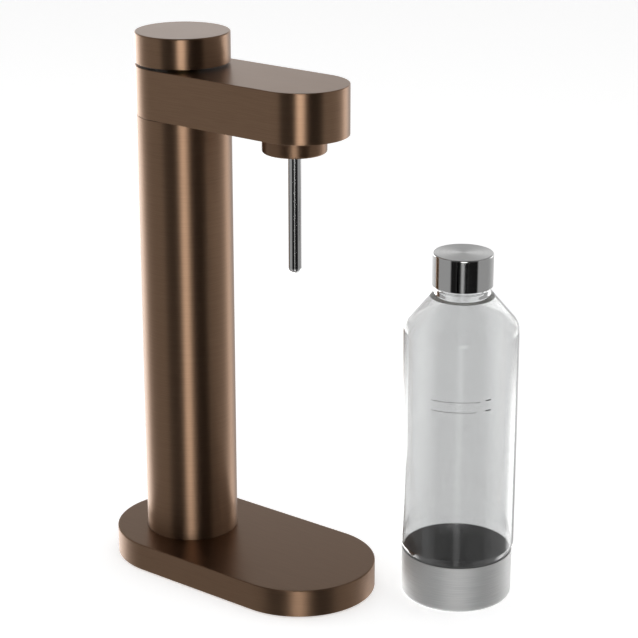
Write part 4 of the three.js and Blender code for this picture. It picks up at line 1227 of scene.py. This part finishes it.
@dataclass
class Cap(Assembly):
    """The polished steel shell of the bottle's cap."""

    walls: Shell = Shell(wall=0.7 * MM, deck=0.8 * MM, edge=0.9 * MM, hem=0.2 * MM)

    def build(self, finishes: Finishes) -> list[Object]:
        """The shell, open below."""
        materials = (finishes.mirror_steel, finishes.turned_steel)
        return [dress(self.walls.lid("cap_shell"), "cap", ["cap_shell"], materials)]


@dataclass(frozen=True)
class Spring:
    """A coil spring between a fixed end and a piece that a joint presses against it."""

    node: str
    body: str
    joint: str
    travel: float
    wire: float
    turns: float
    fixed_above: bool = False

    def build(self, finishes: Finishes) -> Object:
        """The round wire, at its node's length.

        Args:
            finishes: the materials.

        Returns:
            The dressed spring.
        """
        box = Extent.of(self.node)
        half = self.wire / 2
        height = box.high.z - box.low.z
        pitch = (height - self.wire) / self.turns
        made = bmesh.new()
        add_wire(made, helix(box.radius - half, pitch, self.turns, box.low.z + half), half)
        piece = mesh_object(f"{self.node}_fine", made, box.axis)
        dress(piece, self.body, [self.node], [finishes.slots["spring_steel"]])
        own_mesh(piece)
        return piece


@dataclass
class Springs(Assembly):
    """The springs of the knob, of the gas valve's pin and of the relief valve."""

    springs: tuple[Spring, ...] = (
        Spring("knob_spring", "stand", "knob_press", travel=1.6 * MM, wire=1.2 * MM, turns=4),
        Spring("pin_spring", "cylinder", "pin_press", travel=1.6 * MM, wire=0.9 * MM, turns=5),
        Spring(
            "relief_spring", "stand", "poppet_lift",
            travel=1.2 * MM, wire=0.6 * MM, turns=4, fixed_above=True,
        ),
    )

    def build(self, finishes: Finishes) -> list[Object]:
        """The three springs."""
        return [spring.build(finishes) for spring in self.springs]


@dataclass
class Works(Assembly):
    """The pieces, nearly all of them inside, that keep their own solids and get their finishes."""

    def build(self, finishes: Finishes) -> list[Object]:
        """Finishes every CAD node that still shows, by its slot in the record.

        Args:
            finishes: the materials.

        Returns:
            The nodes that show.
        """
        slots = {row["node"]: row["material_slot"] for row in frame["record"]["subparts"]}
        shown = [node for node in frame["nodes"].values() if not node.hide_render]
        for node in shown:
            node.data.materials.clear()
            node.data.materials.append(finishes.slots[slots[node.name]])
        return shown


# Studio


@dataclass(frozen=True)
class Step:
    """A smooth rise from 0 to 1 between two angles, in degrees."""

    low: float
    high: float

    def above(self, angle: Socket) -> Socket:
        """How much an angle is above the step."""
        return angle.ramp(self.low, self.high)

    def below(self, angle: Socket) -> Socket:
        """How much an angle is below the step."""
        return 1 - self.above(angle)


@dataclass(frozen=True)
class Band:
    """1 between two angles and 0 outside, in degrees, with edges twice as wide as soft."""

    low: float
    high: float
    soft: float

    def inside(self, angle: Socket) -> Socket:
        """How much an angle is inside the band."""
        return angle.between(self.low, self.high, self.soft)


@dataclass(frozen=True)
class Softboxes:
    """The bright and dark fields that metal and glass mirror, by a ray's direction.

    Azimuths count from the camera's side to its right, and elevations from the horizon up. The
    plain numbers are brightnesses, where 1 is white, and "more" or "less" is what a field adds or
    takes off.
    """

    # By elevation
    upper: Step = Step(-6.0, 8.0)  # above it are the fields that level tops mirror
    high: Step = Step(15.0, 26.0)  # above it the rear field is dimmer
    deep: Step = Step(-30.0, -22.0)  # below it lies what walls mirror to a higher camera
    wall_view: Band = Band(-20.5, -13.5, 1.5)  # what upright walls mirror to this camera

    # By azimuth: the rear half, and the dark fields on each side of the camera
    left_rear: Step = Step(-136.0, -112.0)
    right_rear: Step = Step(108.0, 126.0)
    right_edge: Band = Band(117.0, 140.0, 9.0)
    far_left: Step = Step(-165.0, -100.0)
    far_right: Step = Step(100.0, 160.0)
    dark_left: Band = Band(-50.0, -25.0, 4.0)
    middle: Band = Band(-25.0, 14.0, 3.0)
    dark_right: Band = Band(14.0, 54.0, 4.0)

    # The lamp strips in the middle, a broad one and a slim one
    broad_left: Step = Step(-15.0, -3.0)
    broad_right: Step = Step(2.0, 17.0)
    broad_heights: Band = Band(-11.0, 8.0, 3.0)
    slim_left: Step = Step(-15.0, -5.0)
    slim_right: Step = Step(-4.0, 6.0)

    side: float = 0.41
    far_left_more: float = 0.55
    far_right_more: float = 0.3
    off_view_more: float = 0.1
    left_rear_more: float = 3.7
    right_edge_more: float = 2.5
    upper_less: float = 0.35
    rear: float = 1.0
    rear_edge_more: float = 0.1
    rear_high_less: float = 0.77
    dark: float = 0.01
    dark_off_view_more: float = 0.07
    dark_upper_less: float = 0.05
    dark_left_deep_more: float = 0.14
    broad_strip: float = 8.4
    broad_strip_deep: float = 1.2
    slim_strip: float = 0.5
    clear_strip_less: float = 0.9  # share of the broad strip that the clear plastic doesn't mirror
    clear_less: float = 0.2  # share of everything that it doesn't mirror

    def _around(self, azimuth: Socket, elevation: Socket, upper: Socket, off_view: Socket) -> Socket:
        """The fields at the sides and at the rear.

        Args:
            azimuth: the ray's azimuth.
            elevation: its elevation.
            upper: how much it is in the upper fields.
            off_view: how much it is off what upright walls mirror to the camera.

        Returns:
            Their brightness.
        """
        left_rear = self.left_rear.below(azimuth)
        right_edge = self.right_edge.inside(azimuth)
        rear = left_rear + self.right_rear.above(azimuth)
        far_left = self.far_left.below(azimuth) * self.far_left_more
        far_right = self.far_right.above(azimuth) * self.far_right_more
        edges = left_rear * self.left_rear_more + right_edge * self.right_edge_more
        side = self.side + far_left + far_right + off_view * (self.off_view_more + edges)
        high = self.high.above(elevation) * self.rear_high_less
        behind = rear * (self.rear + right_edge * self.rear_edge_more - high)
        return side * (1 - rear * upper) * (1 - upper * self.upper_less) + behind * upper

    def _strips(
        self, azimuth: Socket, elevation: Socket, upper: Socket, deep: Socket, clear: Socket
    ) -> Socket:
        """The two lamp strips in the middle.

        Args:
            azimuth: the ray's azimuth.
            elevation: its elevation.
            upper: how much it is in the upper fields.
            deep: how much it is in the deep ones.
            clear: 1 if it comes off the clear plastic, and otherwise 0.

        Returns:
            Their brightness.
        """
        slim = self.slim_left.above(azimuth) * self.slim_right.below(azimuth)
        broad = self.broad_left.above(azimuth) * self.broad_right.below(azimuth)
        broad = broad * (1 - clear * self.clear_strip_less)
        low = slim * (1 - upper) * self.slim_strip + broad * deep * self.broad_strip_deep
        return low + broad * self.broad_heights.inside(elevation) * self.broad_strip

    def brightness(self, graph: Graph, azimuth: Socket, elevation: Socket) -> Socket:
        """How bright a mirrored ray is.

        Args:
            graph: the world's graph.
            azimuth: the ray's azimuth.
            elevation: its elevation.

        Returns:
            Its brightness.
        """
        upper = self.upper.above(elevation)
        deep = self.deep.below(elevation)
        off_view = 1 - self.wall_view.inside(elevation)
        dark_left = self.dark_left.inside(azimuth)
        dark_right = self.dark_right.inside(azimuth)
        middle = self.middle.inside(azimuth)
        around = self._around(azimuth, elevation, upper, off_view)
        level = around * (1 - dark_left - dark_right - middle)
        dark = self.dark + off_view * (self.dark_off_view_more - upper * self.dark_upper_less)
        shade = (dark_left + dark_right + middle) * dark + dark_left * deep * self.dark_left_deep_more
        clear = graph.light_path("Is Singular Ray")
        strips = self._strips(azimuth, elevation, upper, deep, clear)
        return (level + shade + middle * strips) * (1 - clear * self.clear_less)


@dataclass(frozen=True)
class Lamp:
    """A soft square lamp: where it hangs, its width, and its power in watts."""

    name: str
    place: Triple
    size: float
    power: float

    def hang(self, target: Triple) -> None:
        """Hangs the lamp, unseen by the camera and in reflections.

        Args:
            target: the point that it faces.
        """
        data = bpy.data.lights.new(self.name, "AREA")
        data.size = self.size
        data.energy = self.power
        lamp = bpy.data.objects.new(self.name, data)
        lamp.location = self.place
        toward = Vector(target) - lamp.location
        lamp.rotation_euler = toward.to_track_quat("-Z", "Y").to_euler()
        lamp.visible_glossy = False
        lamp.visible_camera = False
        bpy.context.scene.collection.objects.link(lamp)


@dataclass
class Studio:
    """The pale floor, the soft light around the object, and the camera."""

    heading: float = 38.11  # camera's azimuth about the object, in degrees
    pitch: float = 18.79  # how far it looks down
    camera_place: Triple = (0.96354, -1.13285, 0.71076)
    focal_pixels: float = 2067.47
    frame_pixels: float = 638.0
    sensor: float = 36.0  # sensor's width in millimetres
    view_end: float = 50.0

    softboxes: Softboxes = Softboxes()
    ambient: float = 0.55
    lamps: tuple[Lamp, ...] = (
        Lamp("overhead_lamp", (0.1, 0.1, 1.9), size=1.6, power=7.5),
        Lamp("front_lamp", (1.2, -1.6, 1.3), size=1.0, power=4.0),
        Lamp("left_lamp", (-1.7, -0.5, 1.1), size=1.0, power=3.5),
    )
    target: Triple = (0.05, 0.0, 0.2)  # where the lamps point

    floor_size: float = 14.0
    floor_cells: int = 8
    floor_drop: float = 0.05 * MM  # how far under the object's lowest faces it lies
    floor_grey: float = 0.8
    floor_roughness: float = 0.9
    floor_glow: float = 0.49  # what it adds to its lit colour where the camera sees it
    bottle_spread: float = 0.028  # half of the bottle's width over its distance from the camera
    behind_from: float = 0.4  # in bottle_spreads, where the floor seen through it brightens
    behind_to: float = 1.05
    # Painted light to each side of the bottle and painted shade right behind it, on the floor that the
    # bottle lets through.
    light_painted_aside: float = 0.42
    shade_painted_behind: float = 0.12

    def camera(self) -> None:
        """The camera, at the photograph's place and angle."""
        data = bpy.data.cameras.new("camera")
        data.sensor_width = self.sensor
        data.lens = self.focal_pixels / self.frame_pixels * self.sensor
        data.clip_end = self.view_end
        camera = bpy.data.objects.new("camera", data)
        camera.location = self.camera_place
        camera.rotation_euler = (math.radians(90 - self.pitch), 0, math.radians(self.heading))
        bpy.context.scene.collection.objects.link(camera)
        bpy.context.scene.camera = camera

    def _directions(self, graph: Graph) -> tuple[Socket, Socket]:
        """A ray's direction in degrees.

        Args:
            graph: the world's graph.

        Returns:
            Its azimuth from the camera's side to the right, and its elevation.
        """
        turn = math.radians(self.heading)
        way = graph.node("ShaderNodeTexCoord", output="Generated")
        x = graph.node("ShaderNodeSeparateXYZ", {}, {0: way})
        y, z = x.beside("Y"), x.beside("Z")
        toward = x * math.sin(turn) - y * math.cos(turn)
        side = x * math.cos(turn) + y * math.sin(turn)
        degrees = math.degrees(1)
        return side.math("ARCTAN2", toward) * degrees, z.math("ARCSINE") * degrees

    def _ray_kinds(self, graph: Graph) -> tuple[Socket, Socket]:
        """1 for camera and transmitted rays, and 1 for glossy rays."""
        path = graph.light_path("Is Camera Ray")
        return path + path.beside("Is Transmission Ray"), path.beside("Is Glossy Ray")

    def surround(self) -> None:
        """The world: white behind the object, plain for soft light, softboxes in reflections."""
        world = bpy.data.worlds.new("studio")
        bpy.context.scene.world = world
        world.use_nodes = True
        world.cycles.sampling_method = "NONE"
        graph = Graph(world.node_tree)
        seen, glossy = self._ray_kinds(graph)
        rest = (1 - seen - glossy) * self.ambient
        mirrored = self.softboxes.brightness(graph, *self._directions(graph))
        sockets = {"Color": (1, 1, 1, 1), "Strength": seen + glossy * mirrored + rest}
        graph.surface(graph.node("ShaderNodeBackground", {}, sockets), "ShaderNodeOutputWorld")

    def _floor_painted_behind_bottle(self, graph: Graph) -> Socket:
        """Painted shade and painted light on the floor as seen through the bottle: darker right behind
        it, brighter to each side.

        Args:
            graph: the floor's graph.

        Returns:
            The strength to add to the floor's glow.
        """
        turn = math.radians(self.heading)
        bottle = Extent.of("bottle_body").axis - Vector(self.camera_place)
        place = graph.node("ShaderNodeNewGeometry", output="Position")
        x = graph.node("ShaderNodeSeparateXYZ", {}, {0: place})
        east = x - self.camera_place[0]
        north = x.beside("Y") - self.camera_place[1]
        right = east * math.cos(turn) + north * math.sin(turn)
        ahead = north * math.cos(turn) - east * math.sin(turn)
        bottle_right = bottle.x * math.cos(turn) + bottle.y * math.sin(turn)
        bottle_ahead = bottle.y * math.cos(turn) - bottle.x * math.sin(turn)
        offset = (right.math("DIVIDE", ahead) - bottle_right / bottle_ahead).math("ABSOLUTE")
        spread = self.bottle_spread
        aside = offset.ramp(self.behind_from * spread, self.behind_to * spread)
        return aside * self.light_painted_aside - self.shade_painted_behind

    def floor(self) -> None:
        """The white floor, bright to the camera but still with the object's shadow."""
        made = bmesh.new()
        cells = self.floor_cells
        bmesh.ops.create_grid(made, x_segments=cells, y_segments=cells, size=self.floor_size / 2)
        data = bpy.data.meshes.new("floor")
        made.to_mesh(data)
        made.free()
        floor = bpy.data.objects.new("floor", data)
        floor.location.z = -self.floor_drop
        bpy.context.scene.collection.objects.link(floor)
        material = bpy.data.materials.new("white_floor")
        material.use_nodes = True
        graph = Graph(material.node_tree)
        seen, glossy = self._ray_kinds(graph)
        through = graph.light_path("Is Transmission Ray")
        glow = (seen + glossy) * self.floor_glow
        sockets = {
            "Base Color": (self.floor_grey, self.floor_grey, self.floor_grey, 1),
            "Roughness": self.floor_roughness,
            "Emission Color": (1, 1, 1, 1),
            # Seen through the bottle, the floor carries painted shade right behind it and painted light
            # to each side.
            "Emission Strength": glow + through * self._floor_painted_behind_bottle(graph),
        }
        graph.surface(graph.node("ShaderNodeBsdfPrincipled", {}, sockets))
        data.materials.append(material)
        floor.visible_glossy = False

    def build(self) -> None:
        """Sets up camera, light and floor."""
        bpy.context.scene.view_settings.view_transform = "Standard"
        self.camera()
        self.surround()
        self.floor()
        for lamp in self.lamps:
            lamp.hang(self.target)


def main() -> None:
    """Builds the studio and every part of the water maker, and reports each piece."""
    logging.basicConfig(level=logging.INFO, format="%(name)s: %(message)s")
    Studio().build()
    finishes = Finishes()
    parts: tuple[Assembly, ...] = (
        Base(), Column(), Arm(), Knob(), Nozzle(), Bottle(), Cap(), Springs(), Works()
    )
    for part in parts:
        for piece in part.build(finishes):
            log.info("%s: %s, %d faces", type(part).__name__, piece.name, len(piece.data.polygons))


if __name__ == "__main__":
    main()
